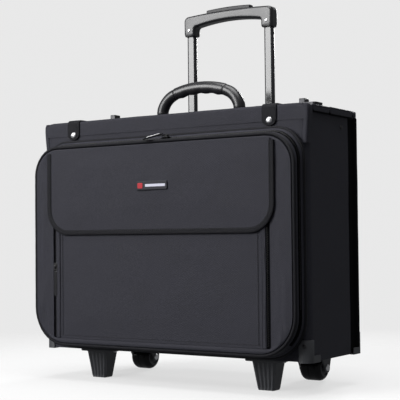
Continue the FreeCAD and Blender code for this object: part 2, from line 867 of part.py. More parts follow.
def make_wheels():
    """Two wheels behind, each between the cheeks of its housing, on a plain axle."""
    y = front + s["wheel_setback"]
    radius = s["wheel_radius"]
    bore = s["axle_radius"] + s["running_gap"]
    hub_radius = radius - 6
    half_tyre = s["tyre_width"] / 2
    housings = []
    axles = []
    for side, sign in SIDES.items():
        x = sign * s["wheel_offset"]
        housings.append(wheel_housing(x, y, radius, bore, half_tyre))
        shaft = rod(s["axle_radius"], 2 * half_tyre + 8, (x - half_tyre - 4, y, radius), FACING_RIGHT)
        heads = [
            dome(5, 2, (x + half_tyre + 3.6, y, radius), FACING_RIGHT),
            dome(5, 2, (x - half_tyre - 3.6, y, radius), FACING_LEFT),
        ]
        axles.append(fuse(shaft, *heads))
        barrel = rod(hub_radius, 2 * half_tyre - 1, (x - half_tyre + 0.5, y, radius), FACING_RIGHT)
        dishes = [
            rod(hub_radius - 2.5, 2, (x + half_tyre - 2.4, y, radius), FACING_RIGHT),
            rod(hub_radius - 2.5, 2, (x - half_tyre + 0.4, y, radius), FACING_RIGHT),
        ]
        bosses = [
            rod(5.5, 2.4, (x + half_tyre - 2.4, y, radius), FACING_RIGHT),
            rod(5.5, 2.4, (x - half_tyre, y, radius), FACING_RIGHT),
        ]
        hole = rod(bore, 40, (x - 20, y, radius), FACING_RIGHT)
        node(f"wheel_hub_{side}", cut(fuse(cut(barrel, *dishes), *bosses), hole))
        tread = rod(radius, 2 * half_tyre, (x - half_tyre, y, radius), FACING_RIGHT)
        round_tread = soften(tread, s["tread_round"].value, lambda edge: edge.Closed)
        core = rod(hub_radius + 0.02, 40, (x - 20, y, radius), FACING_RIGHT)
        node(f"wheel_tyre_{side}", cut(round_tread, core))
    node("wheel_housings", group(*housings))
    node("wheel_axles", group(*axles))


def wheel_housing(x, y, radius, bore, half_tyre):
    """A plate under the case with two cheeks that taper down to the axle."""
    gap = 1
    thick = 2.6
    plate_low = floor - 3.5
    base = slab("XY_Plane", (half_tyre + 12, -26, 17, 5, 5), 3.5, (x, y, plate_low))
    pieces = [base]
    for start in (x - half_tyre - gap - thick, x + half_tyre + gap):
        cheek = new_body((start, y, radius))
        sketch = new_sketch(cheek, "YZ_Plane")
        rise = plate_low - radius + 1
        draw_polygon(sketch, [(-7, 0), (7, 0), (15, rise), (-22, rise)])
        pad(cheek, sketch, thick)
        pieces.append(cheek)
        pieces.append(rod(7.4, thick, (start, y, radius), FACING_RIGHT))
    hole = rod(bore, 60, (x - 30, y, radius), FACING_RIGHT)
    return cut(fuse(*pieces), hole)


# ---------------------------------------------------------------- telescopic handle

def tube(stage, low, high):
    """One flat-sided tube: each later stage is smaller and slides inside the one before."""
    shrink = stage * s["tube_step"]
    wide = s["tube_width"] / 2 - shrink
    deep = s["tube_thickness"] / 2 - shrink
    wall = s["tube_wall"] - stage * 0.1
    corner = deep - 0.6

    def for_side(sign):
        return slab(
            "XY_Plane",
            (wide, -deep, deep, corner, corner),
            as_size(high) - low,
            (sign * s["tube_offset"], front + s["tube_setback"], low),
            hole=(wide - wall, -deep + wall, deep - wall, corner - wall, corner - wall),
        )

    return group(*mirrored_pair(for_side))


def bracket(low, high, bore_from):
    """A block across the back of the case that holds both outer tubes."""
    y = front + s["tube_setback"]
    wide = s["tube_width"] - 2
    deep = s["tube_thickness"] / 2 + 3
    beam = block(
        (-s["tube_offset"] - wide, back, low),
        (s["tube_offset"] + wide, y + deep, high),
    )
    holes = []
    for sign in SIDES.values():
        half = s["tube_width"] / 2 + s["running_gap"]
        thick = s["tube_thickness"] / 2 + s["running_gap"]
        corner = thick - 0.6
        holes.append(
            slab(
                "XY_Plane",
                (half, -thick, thick, corner, corner),
                100,
                (sign * s["tube_offset"], y, bore_from),
            )
        )
    reach = (s["tube_offset"] + wide).value
    return soften(cut(beam, *holes), 3, lambda edge: is_outer_upright(edge, reach))


def is_outer_upright(edge, reach):
    """Whether an edge is one of the bracket's four upright corners."""
    upright = abs(edge.BoundBox.ZLength - edge.Length) < 0.01
    return upright and abs(abs(edge.CenterOfMass.x) - reach) < 0.01


def make_trolley():
    """Outer tubes on the back, then the middle and inner stages that slide in them."""
    foot_low = floor + 15
    foot_floor = foot_low + 4
    outer_top = rim - 3
    inner_length = 337
    socket_depth = 12
    inner_top = s["grip_low"] + socket_depth
    node("trolley_base", bracket(foot_low, foot_low + 28, foot_floor))
    node("trolley_top_bracket", bracket(outer_top - 22, outer_top - 1, outer_top - 60))
    node("outer_tubes", tube(0, foot_floor + 0.2, outer_top))
    node("middle_tubes", tube(1, foot_floor + 6, outer_top + 8))
    node("inner_tubes", tube(2, inner_top - inner_length, inner_top))

    def collar(sign):
        """The plastic collar that a middle tube carries at its top."""
        x = sign * s["tube_offset"]
        y = front + s["tube_setback"]
        half = s["tube_width"] / 2
        deep = s["tube_thickness"] / 2
        inner_half = s["tube_width"] / 2 - s["tube_step"] + s["running_gap"]
        inner_deep = deep - s["tube_step"] + s["running_gap"]
        corner = deep - 1.5
        return slab(
            "XY_Plane",
            (half, -deep, deep, corner, corner),
            7,
            (x, y, outer_top + 0.6),
            hole=(inner_half, -inner_deep, inner_deep, inner_deep - 0.6, inner_deep - 0.6),
        )

    node("stage_collars", group(*mirrored_pair(collar)))


def make_grip():
    """The grip: two end blocks on the inner tubes, a bowed bar, and the release button in it."""
    y = front + s["tube_setback"]
    offset = s["tube_offset"]
    low = s["grip_low"]
    deep = s["grip_depth"] / 2
    end_top = low + 33
    socket_half = s["tube_width"] / 2 - 2 * s["tube_step"] + s["running_gap"]
    socket_deep = s["tube_thickness"] / 2 - 2 * s["tube_step"] + s["running_gap"]
    socket_round = socket_deep - 0.6
    ends = []
    screws = []
    for sign in SIDES.values():
        x = sign * offset
        lump = slab("XY_Plane", (10, -deep, deep, 4, 4), end_top - low, (x, y, low))
        socket = slab(
            "XY_Plane",
            (socket_half, -socket_deep, socket_deep, socket_round, socket_round),
            13,
            (x, y, low - 1),
        )
        ends.append(cut(lump, socket))
        screws.append(dome(2.6, 1, (x, y - deep, low + 9), FACING_FRONT))
    node("grip_ends", group(*ends))
    node("grip_screws", group(*screws))

    # The bar bows upwards: a segment of a wide ring with a flat-sided section.
    reach = offset - 10.1
    bow = 5
    ring_radius = (reach * reach + bow * bow) / (2 * bow)
    bar_low = end_top - s["grip_bar_height"] - 3
    bar = new_body((0, y, bar_low + bow - ring_radius))
    sketch = new_sketch(bar, "YZ_Plane")
    draw_round_box(
        sketch, deep - 0.5, ring_radius, ring_radius + s["grip_bar_height"], 5, 5
    )
    half_angle = math.degrees(math.asin(reach.value / ring_radius.value))
    turned = bar.newObject("PartDesign::Revolution", "Bow")
    turned.Profile = sketch
    turned.ReferenceAxis = (sketch, ["H_Axis"])
    turned.Angle = 2 * half_angle
    turned.Midplane = True
    bar_top = bar_low + bow + s["grip_bar_height"]
    slot_floor = bar_top - 9
    button_half = s["button_half"]
    slot = block((-button_half - 0.5, y - 6, slot_floor), (button_half + 0.5, y + 6, bar_top + 20))
    wells = [rod(3, 5, (shift, y, slot_floor - 4), FACING_UP) for shift in (-25, 25)]
    between_ends = block((-reach, y - deep, low), (reach, y + deep, bar_top + 1))
    node("grip_bar", cut(common(bar, between_ends), slot, *wells))
    button_low = slot_floor + s["button_travel"] + 0.6
    button = slab(
        "XZ_Plane",
        (button_half, button_low, bar_top + 5, 1, 4),
        11.4,
        (0, y + 5.7, 0),
    )
    node("grip_button", button)
    spring_low = slot_floor - 4 + 0.1
    springs = [
        cut(
            rod(2.6, button_low - 0.1 - spring_low, (shift, y, spring_low)),
            rod(1.9, 40, (shift, y, spring_low - 1)),
        )
        for shift in (-25, 25)
    ]
    node("button_springs", group(*springs))


# ---------------------------------------------------------------- build, check and write

def check_and_write():
    """Stop on any failed or invalid object, then write one file for each sub-part."""
    doc.recompute()
    for item in doc.Objects:
        if "Invalid" in item.State or "Error" in item.State:
            raise RuntimeError(f"{item.Name} ({item.Label}) failed: {item.State}")
    os.makedirs("parts", exist_ok=True)
    for label, thing in nodes.items():
        shape = thing.Shape
        if shape.isNull() or not shape.isValid() or not shape.Solids:
            raise RuntimeError(f"{label} has no valid solid")
        if not re.fullmatch(r"[a-z0-9_]{1,59}", label):
            raise RuntimeError(f"{label} is not a usable name")
        shape.exportStep(os.path.join("parts", f"{label}.step"))
    whole = Part.makeCompound([thing.Shape for thing in nodes.values()])
    box = whole.BoundBox
    print(f"{len(nodes)} sub-parts")
    print(f"x {box.XMin:.2f} {box.XMax:.2f}  y {box.YMin:.2f} {box.YMax:.2f}  z {box.ZMin:.2f} {box.ZMax:.2f}")


make_walls()
make_floor()
make_divider()
make_guards()
make_body_rivets()
make_lid()
make_straps()
make_locks()
make_handle()
accessory_low = make_pocket()
make_main_zip()
make_side_zips(accessory_low)
make_pocket_flap()
make_feet()
make_wheels()
make_trolley()
make_grip()
check_and_write()
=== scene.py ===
import math

import bmesh
import bpy
from mathutils import Matrix, Vector, noise


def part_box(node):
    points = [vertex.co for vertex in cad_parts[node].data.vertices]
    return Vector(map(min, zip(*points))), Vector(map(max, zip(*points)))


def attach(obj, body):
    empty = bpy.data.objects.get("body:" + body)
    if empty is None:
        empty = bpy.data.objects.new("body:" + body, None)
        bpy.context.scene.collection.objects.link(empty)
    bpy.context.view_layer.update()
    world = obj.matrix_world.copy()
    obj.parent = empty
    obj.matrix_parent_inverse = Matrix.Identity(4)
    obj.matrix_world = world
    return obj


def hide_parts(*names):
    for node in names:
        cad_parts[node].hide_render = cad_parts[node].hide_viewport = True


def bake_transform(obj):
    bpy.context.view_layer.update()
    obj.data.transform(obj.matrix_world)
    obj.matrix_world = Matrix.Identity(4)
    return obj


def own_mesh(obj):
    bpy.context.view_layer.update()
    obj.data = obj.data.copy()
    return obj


# The looks of the rolling laptop case, in metres, on the frame of its CAD parts.
# The pocket side faces -Y, the telescopic handle stands behind the back at +Y, and the ground is z = 0.

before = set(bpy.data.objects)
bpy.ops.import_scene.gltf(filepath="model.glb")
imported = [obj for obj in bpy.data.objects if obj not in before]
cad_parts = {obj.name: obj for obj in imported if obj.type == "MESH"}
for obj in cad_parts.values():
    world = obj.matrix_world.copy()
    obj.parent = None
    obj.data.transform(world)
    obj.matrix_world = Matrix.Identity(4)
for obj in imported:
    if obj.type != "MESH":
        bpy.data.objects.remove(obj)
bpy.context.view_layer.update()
MM = 0.001

# Planes and levels of the body, read from the frame.
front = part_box("front_panel")[0].y
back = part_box("rear_panel")[1].y
half_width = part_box("side_panel_right")[1].x
case_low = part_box("front_panel")[0].z
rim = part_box("front_panel")[1].z
lid_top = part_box("rear_top_strip")[1].z
corner_round = half_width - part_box("front_panel")[1].x
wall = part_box("front_panel")[1].y - front

# The front pocket, read from its two rows of piping.
rear_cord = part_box("rear_piping")
front_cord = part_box("front_piping")
cord_radius = (front_cord[1].y - front_cord[0].y) / 2
rear_cord_y = (rear_cord[0].y + rear_cord[1].y) / 2
front_cord_y = (front_cord[0].y + front_cord[1].y) / 2
pocket_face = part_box("pocket_front_panel")[0].y
POCKET_ROUND_LOW = 55 * MM
POCKET_ROUND_HIGH = 42 * MM

CLOTH_PITCH = 2.4 * MM
STITCH_PITCH = 3.6 * MM
SEAM_END = 12 * MM
SIDES = {"left": -1, "right": 1}
materials = {}


# ---------------------------------------------------------------- materials

class Finish:
    """A principled material that is built up node by node."""

    def __init__(self, name, roughness, metallic=0.0):
        self.material = bpy.data.materials.new(name)
        self.material.use_nodes = True
        self.tree = self.material.node_tree
        self.shader = next(node for node in self.tree.nodes if node.type == "BSDF_PRINCIPLED")
        self.shader.inputs["Roughness"].default_value = roughness
        self.shader.inputs["Metallic"].default_value = metallic
        materials[name] = self.material

    def add(self, kind, **settings):
        """A node of the given kind, with its properties and sockets set."""
        node = self.tree.nodes.new(kind)
        for key, value in settings.items():
            if hasattr(node, key):
                setattr(node, key, value)
            else:
                node.inputs[key.replace("_", " ").title()].default_value = value
        return node

    def link(self, source, target):
        self.tree.links.new(source, target)

    def math(self, operation, first, second):
        """One sum on sockets or plain numbers."""
        node = self.add("ShaderNodeMath", operation=operation)
        for socket, value in zip(node.inputs, (first, second)):
            if isinstance(value, (int, float)):
                socket.default_value = value
            else:
                self.link(value, socket)
        return node.outputs[0]

    def noise(self, scale, detail=2.0, stretch=(1, 1, 1)):
        """Noise fixed to the object, stretched along its axes."""
        where = self.add("ShaderNodeTexCoord")
        mapping = self.add("ShaderNodeMapping")
        mapping.inputs["Scale"].default_value = stretch
        self.link(where.outputs["Object"], mapping.inputs["Vector"])
        texture = self.add("ShaderNodeTexNoise")
        texture.inputs["Scale"].default_value = scale
        texture.inputs["Detail"].default_value = detail
        self.link(mapping.outputs["Vector"], texture.inputs["Vector"])
        return texture.outputs["Fac"]

    def weave(self, pitch):
        """A basket weave of crossing yarns, from -1 to 1, on the piece's own cloth layout."""
        layout = self.add("ShaderNodeUVMap", uv_map="Cloth")
        split = self.add("ShaderNodeSeparateXYZ")
        self.link(layout.outputs["UV"], split.inputs["Vector"])
        waves = []
        for socket in (split.outputs["X"], split.outputs["Y"]):
            turned = self.math("MULTIPLY", socket, 2 * math.pi / pitch)
            waves.append(self.math("SINE", turned, 0.0))
        return self.math("MULTIPLY", waves[0], waves[1])

    def colour(self, dark, light, factor):
        """Base colour between two shades."""
        blend = self.add("ShaderNodeMix", data_type="RGBA")
        blend.inputs[6].default_value = (*dark, 1.0)
        blend.inputs[7].default_value = (*light, 1.0)
        self.link(factor, blend.inputs[0])
        self.link(blend.outputs[2], self.shader.inputs["Base Color"])

    def bump(self, height, strength, distance):
        """Surface relief from a height."""
        relief = self.add("ShaderNodeBump")
        relief.inputs["Strength"].default_value = strength
        relief.inputs["Distance"].default_value = distance
        self.link(height, relief.inputs["Height"])
        self.link(relief.outputs["Normal"], self.shader.inputs["Normal"])

    def roughness(self, factor, low, high):
        """Roughness that follows a factor from 0 to 1."""
        spread = self.math("MULTIPLY", factor, high - low)
        self.link(self.math("ADD", spread, low), self.shader.inputs["Roughness"])


def make_cloth(name, dark, light, pitch=CLOTH_PITCH, relief=0.6, roughness=0.62, specular=0.22):
    """Woven synthetic cloth: yarns that catch the light, slight mottling and a soft gloss."""
    finish = Finish(name, roughness)
    weave = finish.weave(pitch)
    mottle = finish.noise(25, 3)
    fine = finish.noise(700, 2)
    yarns = finish.math("ADD", finish.math("MULTIPLY", weave, 0.45), 0.5)
    spread = finish.math("MULTIPLY", finish.math("SUBTRACT", mottle, 0.5), 0.25)
    grain = finish.math("MULTIPLY", finish.math("SUBTRACT", fine, 0.5), 0.9)
    finish.colour(dark, light, finish.math("ADD", finish.math("ADD", yarns, spread), grain))
    height = finish.math("ADD", weave, finish.math("MULTIPLY", fine, 0.8))
    finish.bump(height, relief, 0.35 * MM)
    finish.roughness(mottle, roughness - 0.06, roughness + 0.06)
    finish.shader.inputs["Specular IOR Level"].default_value = specular
    return finish


def make_plastic(name, dark, light, low, high, grain, coat=0.0):
    """Moulded plastic or lacquer: fine grain, slight colour change and uneven gloss."""
    finish = Finish(name, low)
    broad = finish.noise(35, 3)
    fine = finish.noise(1800, 2)
    finish.colour(dark, light, broad)
    finish.bump(fine, grain, 0.12 * MM)
    finish.roughness(broad, low, high)
    finish.shader.inputs["Coat Weight"].default_value = coat
    finish.shader.inputs["Coat Roughness"].default_value = 0.12
    return finish


def make_metal(name, dark, light, low, high, stretch=(1, 1, 1)):
    """Plated metal with fine drawn scratches."""
    finish = Finish(name, low, metallic=1.0)
    scratches = finish.noise(500, 3, stretch)
    finish.colour(dark, light, finish.noise(80, 2))
    finish.bump(scratches, 0.12, 0.1 * MM)
    finish.roughness(scratches, low, high)
    return finish


def make_materials():
    """One finish for each material slot of the record, and a few for parts of pieces."""
    make_cloth("case_fabric", (0.005, 0.005, 0.008), (0.031, 0.031, 0.043))
    make_cloth("lining", (0.045, 0.045, 0.050), (0.07, 0.07, 0.075), 1.0 * MM, 0.3, 0.8)
    make_cloth("binding", (0.003, 0.003, 0.004), (0.0085, 0.0085, 0.012), 1.1 * MM, 0.4, 0.55, 0.14)
    make_cloth("zip_tape", (0.001, 0.001, 0.0015), (0.003, 0.003, 0.004), 0.8 * MM, 0.4, 0.75, 0.03)
    # Near-black cloth whose darkness is painted shade: on the rear corner edging and on the strips under the
    # flap lips.
    make_cloth("shade_dark_trim", (0.001, 0.001, 0.0015), (0.0025, 0.0025, 0.003), 1.3 * MM, 0.2, 0.75, 0.03)
    make_cloth("thread", (0.006, 0.006, 0.008), (0.014, 0.014, 0.018), 0.6 * MM, 0.3, 0.6)
    make_plastic("zip_metal", (0.004, 0.004, 0.005), (0.009, 0.009, 0.010), 0.35, 0.5, 0.1)
    make_metal("rivet_metal", (0.55, 0.55, 0.56), (0.7, 0.7, 0.71), 0.22, 0.4)
    make_metal("lock_metal", (0.03, 0.03, 0.032), (0.07, 0.07, 0.073), 0.35, 0.55, (1, 12, 1))
    make_plastic("moulded_plastic", (0.030, 0.031, 0.035), (0.048, 0.050, 0.056), 0.45, 0.6, 0.3)
    make_plastic("grip_plastic", (0.006, 0.006, 0.007), (0.012, 0.012, 0.014), 0.3, 0.42, 0.12, 0.05)
    make_plastic("button_plastic", (0.004, 0.004, 0.005), (0.008, 0.008, 0.010), 0.3, 0.4, 0.08)
    make_plastic("tube_metal", (0.006, 0.006, 0.007), (0.012, 0.012, 0.014), 0.2, 0.26, 0.02, 0.2)
    make_plastic("tyre_rubber", (0.002, 0.002, 0.003), (0.005, 0.005, 0.006), 0.2, 0.35, 0.1)
    make_plastic("badge_enamel", (0.010, 0.010, 0.014), (0.016, 0.016, 0.022), 0.5, 0.6, 0.05)
    make_plastic("badge_red", (0.30, 0.012, 0.02), (0.40, 0.02, 0.03), 0.5, 0.6, 0.05)
    make_plastic("badge_pale", (0.42, 0.42, 0.50), (0.55, 0.55, 0.63), 0.5, 0.6, 0.05)
    for name in ("badge_enamel", "badge_red", "badge_pale", "button_plastic", "zip_metal", "tyre_rubber"):
        shader = next(node for node in materials[name].node_tree.nodes if node.type == "BSDF_PRINCIPLED")
        shader.inputs["Specular IOR Level"].default_value = 0.2


# ---------------------------------------------------------------- building helpers

def lay_cloth(shape):
    """Lay each face out flat along its main direction, in metres."""
    layer = shape.loops.layers.uv.new("Cloth")
    for face in shape.faces:
        normal = face.normal
        if abs(normal.z) >= max(abs(normal.x), abs(normal.y)):
            across, along = 0, 1
        elif abs(normal.y) >= abs(normal.x):
            across, along = 0, 2
        else:
            across, along = 1, 2
        for loop in face.loops:
            loop[layer].uv = (loop.vert.co[across], loop.vert.co[along])


def finish_piece(name, shape, slot, body, stands_for=(), crease=35):
    """Turn a bmesh into a named piece with its material and the body that carries it."""
    bmesh.ops.recalc_face_normals(shape, faces=shape.faces)
    lay_cloth(shape)
    mesh = bpy.data.meshes.new(name)
    shape.to_mesh(mesh)
    shape.free()
    mesh.shade_smooth()
    mesh.set_sharp_from_angle(angle=math.radians(crease))
    mesh.materials.append(materials[slot])
    piece = bpy.data.objects.new(name, mesh)
    bpy.context.scene.collection.objects.link(piece)
    if stands_for:
        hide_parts(*stands_for)
    if body:
        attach(piece, body)
    return piece


def keep(node, slot, edge=0.0):
    """Keep a CAD node's own shape, with a better finish and slightly rounded edges."""
    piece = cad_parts[node]
    piece.data.materials.clear()
    piece.data.materials.append(materials[slot])
    if edge:
        weld = piece.modifiers.new("Weld", "WELD")
        weld.merge_threshold = 0.01 * MM
        bevel = piece.modifiers.new("Edges", "BEVEL")
        bevel.width = edge
        bevel.segments = 2
        bevel.limit_method = "ANGLE"
        bevel.angle_limit = math.radians(40)
        bevel.harden_normals = False
    return piece


def ripple(point, size, seed=0.0):
    """Smooth uneven relief, roughly from -1 to 1, with bumps of about the given size."""
    place = Vector(point) / size + Vector((seed, 1.7 * seed, 0.3 * seed))
    return 1.2 * noise.noise(place) + 0.5 * noise.noise(2.3 * place)


def around(count):
    """Even angles round a full turn."""
    return [2 * math.pi * step / count for step in range(count)]


def loft(shape, rings, closed=False):
    """Skin a row of rings with the same number of points, with a cap at each open end."""
    rows = [[shape.verts.new(point) for point in ring] for ring in rings]
    pairs = list(zip(rows, rows[1:]))
    if closed:
        pairs.append((rows[-1], rows[0]))
    for near, far in pairs:
        for index in range(len(near)):
            following = (index + 1) % len(near)
            shape.faces.new((near[index], near[following], far[following], far[index]))
    if not closed:
        shape.faces.new(rows[0])
        shape.faces.new(rows[-1])


def round_box(half, low, high, round_low, round_high, counts=(30, 10, 44, 8, 30)):
    """Points round a rounded rectangle from the middle of its bottom, as (x, z, outward x, outward z).
    The same counts give matching points on every such outline."""
    bottom, turn_low, side, turn_high, ceiling = counts
    points = []
    for step in range(bottom):
        points.append(((half - round_low) * step / bottom, low, 0.0, -1.0))
    for step in range(turn_low):
        angle = math.radians(-90 + 90 * step / turn_low)
        x = half - round_low + round_low * math.cos(angle)
        z = low + round_low + round_low * math.sin(angle)
        points.append((x, z, math.cos(angle), math.sin(angle)))
    rise = high - round_high - low - round_low
    for step in range(side):
        points.append((half, low + round_low + rise * step / side, 1.0, 0.0))
    for step in range(turn_high):
        angle = math.radians(90 * step / turn_high)
        x = half - round_high + round_high * math.cos(angle)
        z = high - round_high + round_high * math.sin(angle)
        points.append((x, z, math.cos(angle), math.sin(angle)))
    for step in range(ceiling + 1):
        points.append(((half - round_high) * (1 - step / ceiling), high, 0.0, 1.0))
    mirrored = [(-x, z, -out_x, out_z) for x, z, out_x, out_z in points[-2:0:-1]]
    return points + mirrored


SMALL = (2, 5, 2, 5, 2)


def round_slab(shape, outline, low, high, edge, matrix=Matrix(), bow=None):
    """A slab with a rounded outline and soft edges, from low to high along the matrix's own z."""
    steps = 4
    profile = [(1.8 * edge, low)]
    for step in range(steps + 1):
        angle = math.radians(90 * step / steps)
        profile.append((edge * (1 - math.sin(angle)), low + edge * (1 - math.cos(angle))))
    for step in range(steps + 1):
        angle = math.radians(90 * step / steps)
        profile.append((edge * (1 - math.cos(angle)), high - edge * (1 - math.sin(angle))))
    profile.append((1.8 * edge, high))
    rings = []
    for inset, height in profile:
        ring = []
        for x, z, out_x, out_z in outline:
            point = Vector((x - out_x * inset, z - out_z * inset, height))
            if bow:
                point.z += bow(point)
            ring.append(matrix @ point)
        rings.append(ring)
    loft(shape, rings)


def slab_piece(
    name, slot, body, outline, low, high, edge, matrix=Matrix(), stands_for=(), bow=None
):
    """A finished piece made of one soft-edged slab."""
    shape = bmesh.new()
    round_slab(shape, outline, low, high, edge, matrix, bow)
    return finish_piece(name, shape, slot, body, stands_for)


def soft_box(shape, low, high, cell, edge):
    """A box cut into cells, with rounded edges."""
    made = bmesh.ops.create_cube(shape, size=1.0)["verts"]
    size = Vector(high) - Vector(low)
    middle = (Vector(high) + Vector(low)) / 2
    for vert in made:
        vert.co = Vector([value * length for value, length in zip(vert.co, size)]) + middle
    bmesh.ops.bevel(shape, geom=shape.edges[:], offset=edge, segments=3, profile=0.5, affect="EDGES")
    for axis in range(3):
        count = max(1, round(size[axis] / cell))
        for step in range(1, count):
            where = Vector(middle)
            where[axis] = low[axis] + size[axis] * step / count
            along = Vector((0, 0, 0))
            along[axis] = 1
            geometry = shape.verts[:] + shape.edges[:] + shape.faces[:]
            bmesh.ops.bisect_plane(shape, geom=geometry, plane_co=where, plane_no=along, dist=1e-7)


def facing_right(y):
    """A frame whose x runs back along the case, whose y points up, and whose z faces right."""
    return Matrix(((0, 0, 1, 0), (1, 0, 0, y), (0, 1, 0, 0), (0, 0, 0, 1)))


def upright(y):
    """A frame whose x runs across the case, whose y points up, and whose z faces the front."""
    return Matrix(((1, 0, 0, 0), (0, 0, -1, y), (0, 1, 0, 0), (0, 0, 0, 1)))


def scatter(shape, corners, places):
    """Copy one small box-like lump to many places, each a 4x4 matrix."""
    quads = ((0, 1, 2, 3), (7, 6, 5, 4), (0, 4, 5, 1), (1, 5, 6, 2), (2, 6, 7, 3), (3, 7, 4, 0))
    for matrix in places:
        verts = [shape.verts.new(matrix @ Vector(corner)) for corner in corners]
        for quad in quads:
            shape.faces.new([verts[index] for index in quad])


def lump_corners(long, wide, tall, taper=0.6):
    """Corners of a small lump: its foot is long by wide, and its top is smaller."""
    a, b = long / 2, wide / 2
    c, d = a * taper, b * taper
    return (
        (-a, -b, 0), (a, -b, 0), (a, b, 0), (-a, b, 0),
        (-c, -d, tall), (c, -d, tall), (c, d, tall), (-c, d, tall),
    )


def frame_at(point, along, outward):
    """A matrix at a point whose x runs along and whose z points outward."""
    x = Vector(along).normalized()
    z = Vector(outward).normalized()
    y = z.cross(x)
    rows = [[x[i], y[i], z[i], point[i]] for i in range(3)]
    return Matrix((*rows, (0, 0, 0, 1)))


def walk(points, pitch):
    """Even steps along a line of points: (point, direction) every pitch."""
    left = pitch / 2
    for start, end in zip(points, points[1:]):
        start, end = Vector(start), Vector(end)
        length = (end - start).length
        if length == 0:
            continue
        direction = (end - start) / length
        while left <= length:
            yield start + direction * left, direction
            left += pitch
        left -= length


def stitch(name, lines, outward, body):
    """Rows of stitches along lines of points on a surface that faces outward."""
    shape = bmesh.new()
    corners = lump_corners(0.7 * STITCH_PITCH, 0.75 * MM, 0.45 * MM)
    for line in lines:
        places = [frame_at(point, along, outward) for point, along in walk(line, STITCH_PITCH)]
        scatter(shape, corners, places)
    return finish_piece(name, shape, "thread", body)


# ---------------------------------------------------------------- the stiff body

def side_path(sign):
    """The plan of a side wall with both its corners: (x, y, outward x, outward y)."""
    turn = 6
    centre = half_width - corner_round
    points = []
    for step in range(turn):
        angle = math.radians(-90 + 90 * step / turn)
        y = front + corner_round + corner_round * math.sin(angle)
        points.append((centre + corner_round * math.cos(angle), y, math.cos(angle), math.sin(angle)))
    run = back - front - 2 * corner_round
    count = 46
    for step in range(count):
        points.append((half_width, front + corner_round + run * step / count, 1.0, 0.0))
    for step in range(turn + 1):
        angle = math.radians(90 * step / turn)
        y = back - corner_round + corner_round * math.sin(angle)
        points.append((centre + corner_round * math.cos(angle), y, math.cos(angle), math.sin(angle)))
    return [(sign * x, y, sign * out_x, out_y) for x, y, out_x, out_y in points]


def flat_path(y, facing):
    """The plan of the front or the rear wall."""
    count = 44
    reach = half_width - corner_round
    return [(reach * (2 * step / count - 1), y, 0.0, facing) for step in range(count + 1)]


def wall_skin(name, node, path, relief):
    """A cloth covered wall: outer and inner face along the path, from the bottom to the rim."""
    rows = 40
    heights = [case_low + (rim - case_low) * row / rows for row in range(rows + 1)]
    shape = bmesh.new()
    sections = []
    for x, y, out_x, out_y in path:
        outside = []
        for z in heights:
            lift = relief(x, y, z)
            outside.append((x + out_x * lift, y + out_y * lift, z))
        depth = wall - 0.2 * MM
        inside = [(x - out_x * depth, y - out_y * depth, z) for z in reversed(heights)]
        sections.append(outside + inside)
    loft(shape, sections)
    return finish_piece(name, shape, "case_fabric", "case", (node,))


def smooth_step(value, low, high):
    """0 below low, 1 above high, and smooth in between."""
    share = min(1.0, max(0.0, (value - low) / (high - low)))
    return share * share * (3 - 2 * share)


GROOVE_START = 122 * MM
GROOVE_END = 140 * MM
GROOVE_DEPTH = 1.8 * MM
TRIM_REACH = 14 * MM
BINDING_RADIUS = 2.15 * MM


def side_relief(x, y, z):
    """Slight unevenness, and the upright groove in front of the rear edge band."""
    depth = y - front
    soft = 2 * MM
    groove = smooth_step(depth, GROOVE_START - soft, GROOVE_START + soft)
    groove -= smooth_step(depth, GROOVE_END - soft, GROOVE_END + soft)
    fade = smooth_step(z, case_low, case_low + 20 * MM)
    return 0.35 * MM * ripple((x, y, z), 70 * MM) * fade - GROOVE_DEPTH * groove


def make_rear_trims():
    """Raised edging over both upright rear corners, from the groove round to the back; the edging is real,
    and its near-black colour is painted shade where the corners turn away from the light.
    """
    for side, sign in SIDES.items():
        path = [point for point in side_path(sign) if point[1] > front + GROOVE_START + 3 * MM]
        last = path[-1]
        steps = 4
        for step in range(1, steps + 1):
            path.append((last[0] - sign * TRIM_REACH * step / steps, last[1], last[2], last[3]))
        rows = 36
        low, high = case_low + 1 * MM, rim - 2 * MM
        shape = bmesh.new()
        sections = []
        for x, y, out_x, out_y in path:
            base = side_relief(x, y, 0.2)
            rise = 0.9 * MM if y - front > GROOVE_END else 0.7 * MM
            outside, inside = [], []
            for row in range(rows + 1):
                z = low + (high - low) * row / rows
                lift = base + rise + 0.15 * MM * ripple((x, y, z), 30 * MM, 11.0)
                outside.append((x + out_x * lift, y + out_y * lift, z))
                inside.append((x + out_x * (base - 0.5 * MM), y + out_y * (base - 0.5 * MM), z))
            sections.append(outside + inside[::-1])
        loft(shape, sections)
        # The edging's near-black finish paints the shade of the turned-away corner.
        finish_piece(f"rear_corner_trim_{side}", shape, "shade_dark_trim", "case")


def plain_relief(x, y, z):
    """Slight unevenness of stretched cloth."""
    return 0.3 * MM * ripple((x, y, z), 80 * MM, 3.0) - 0.2 * MM


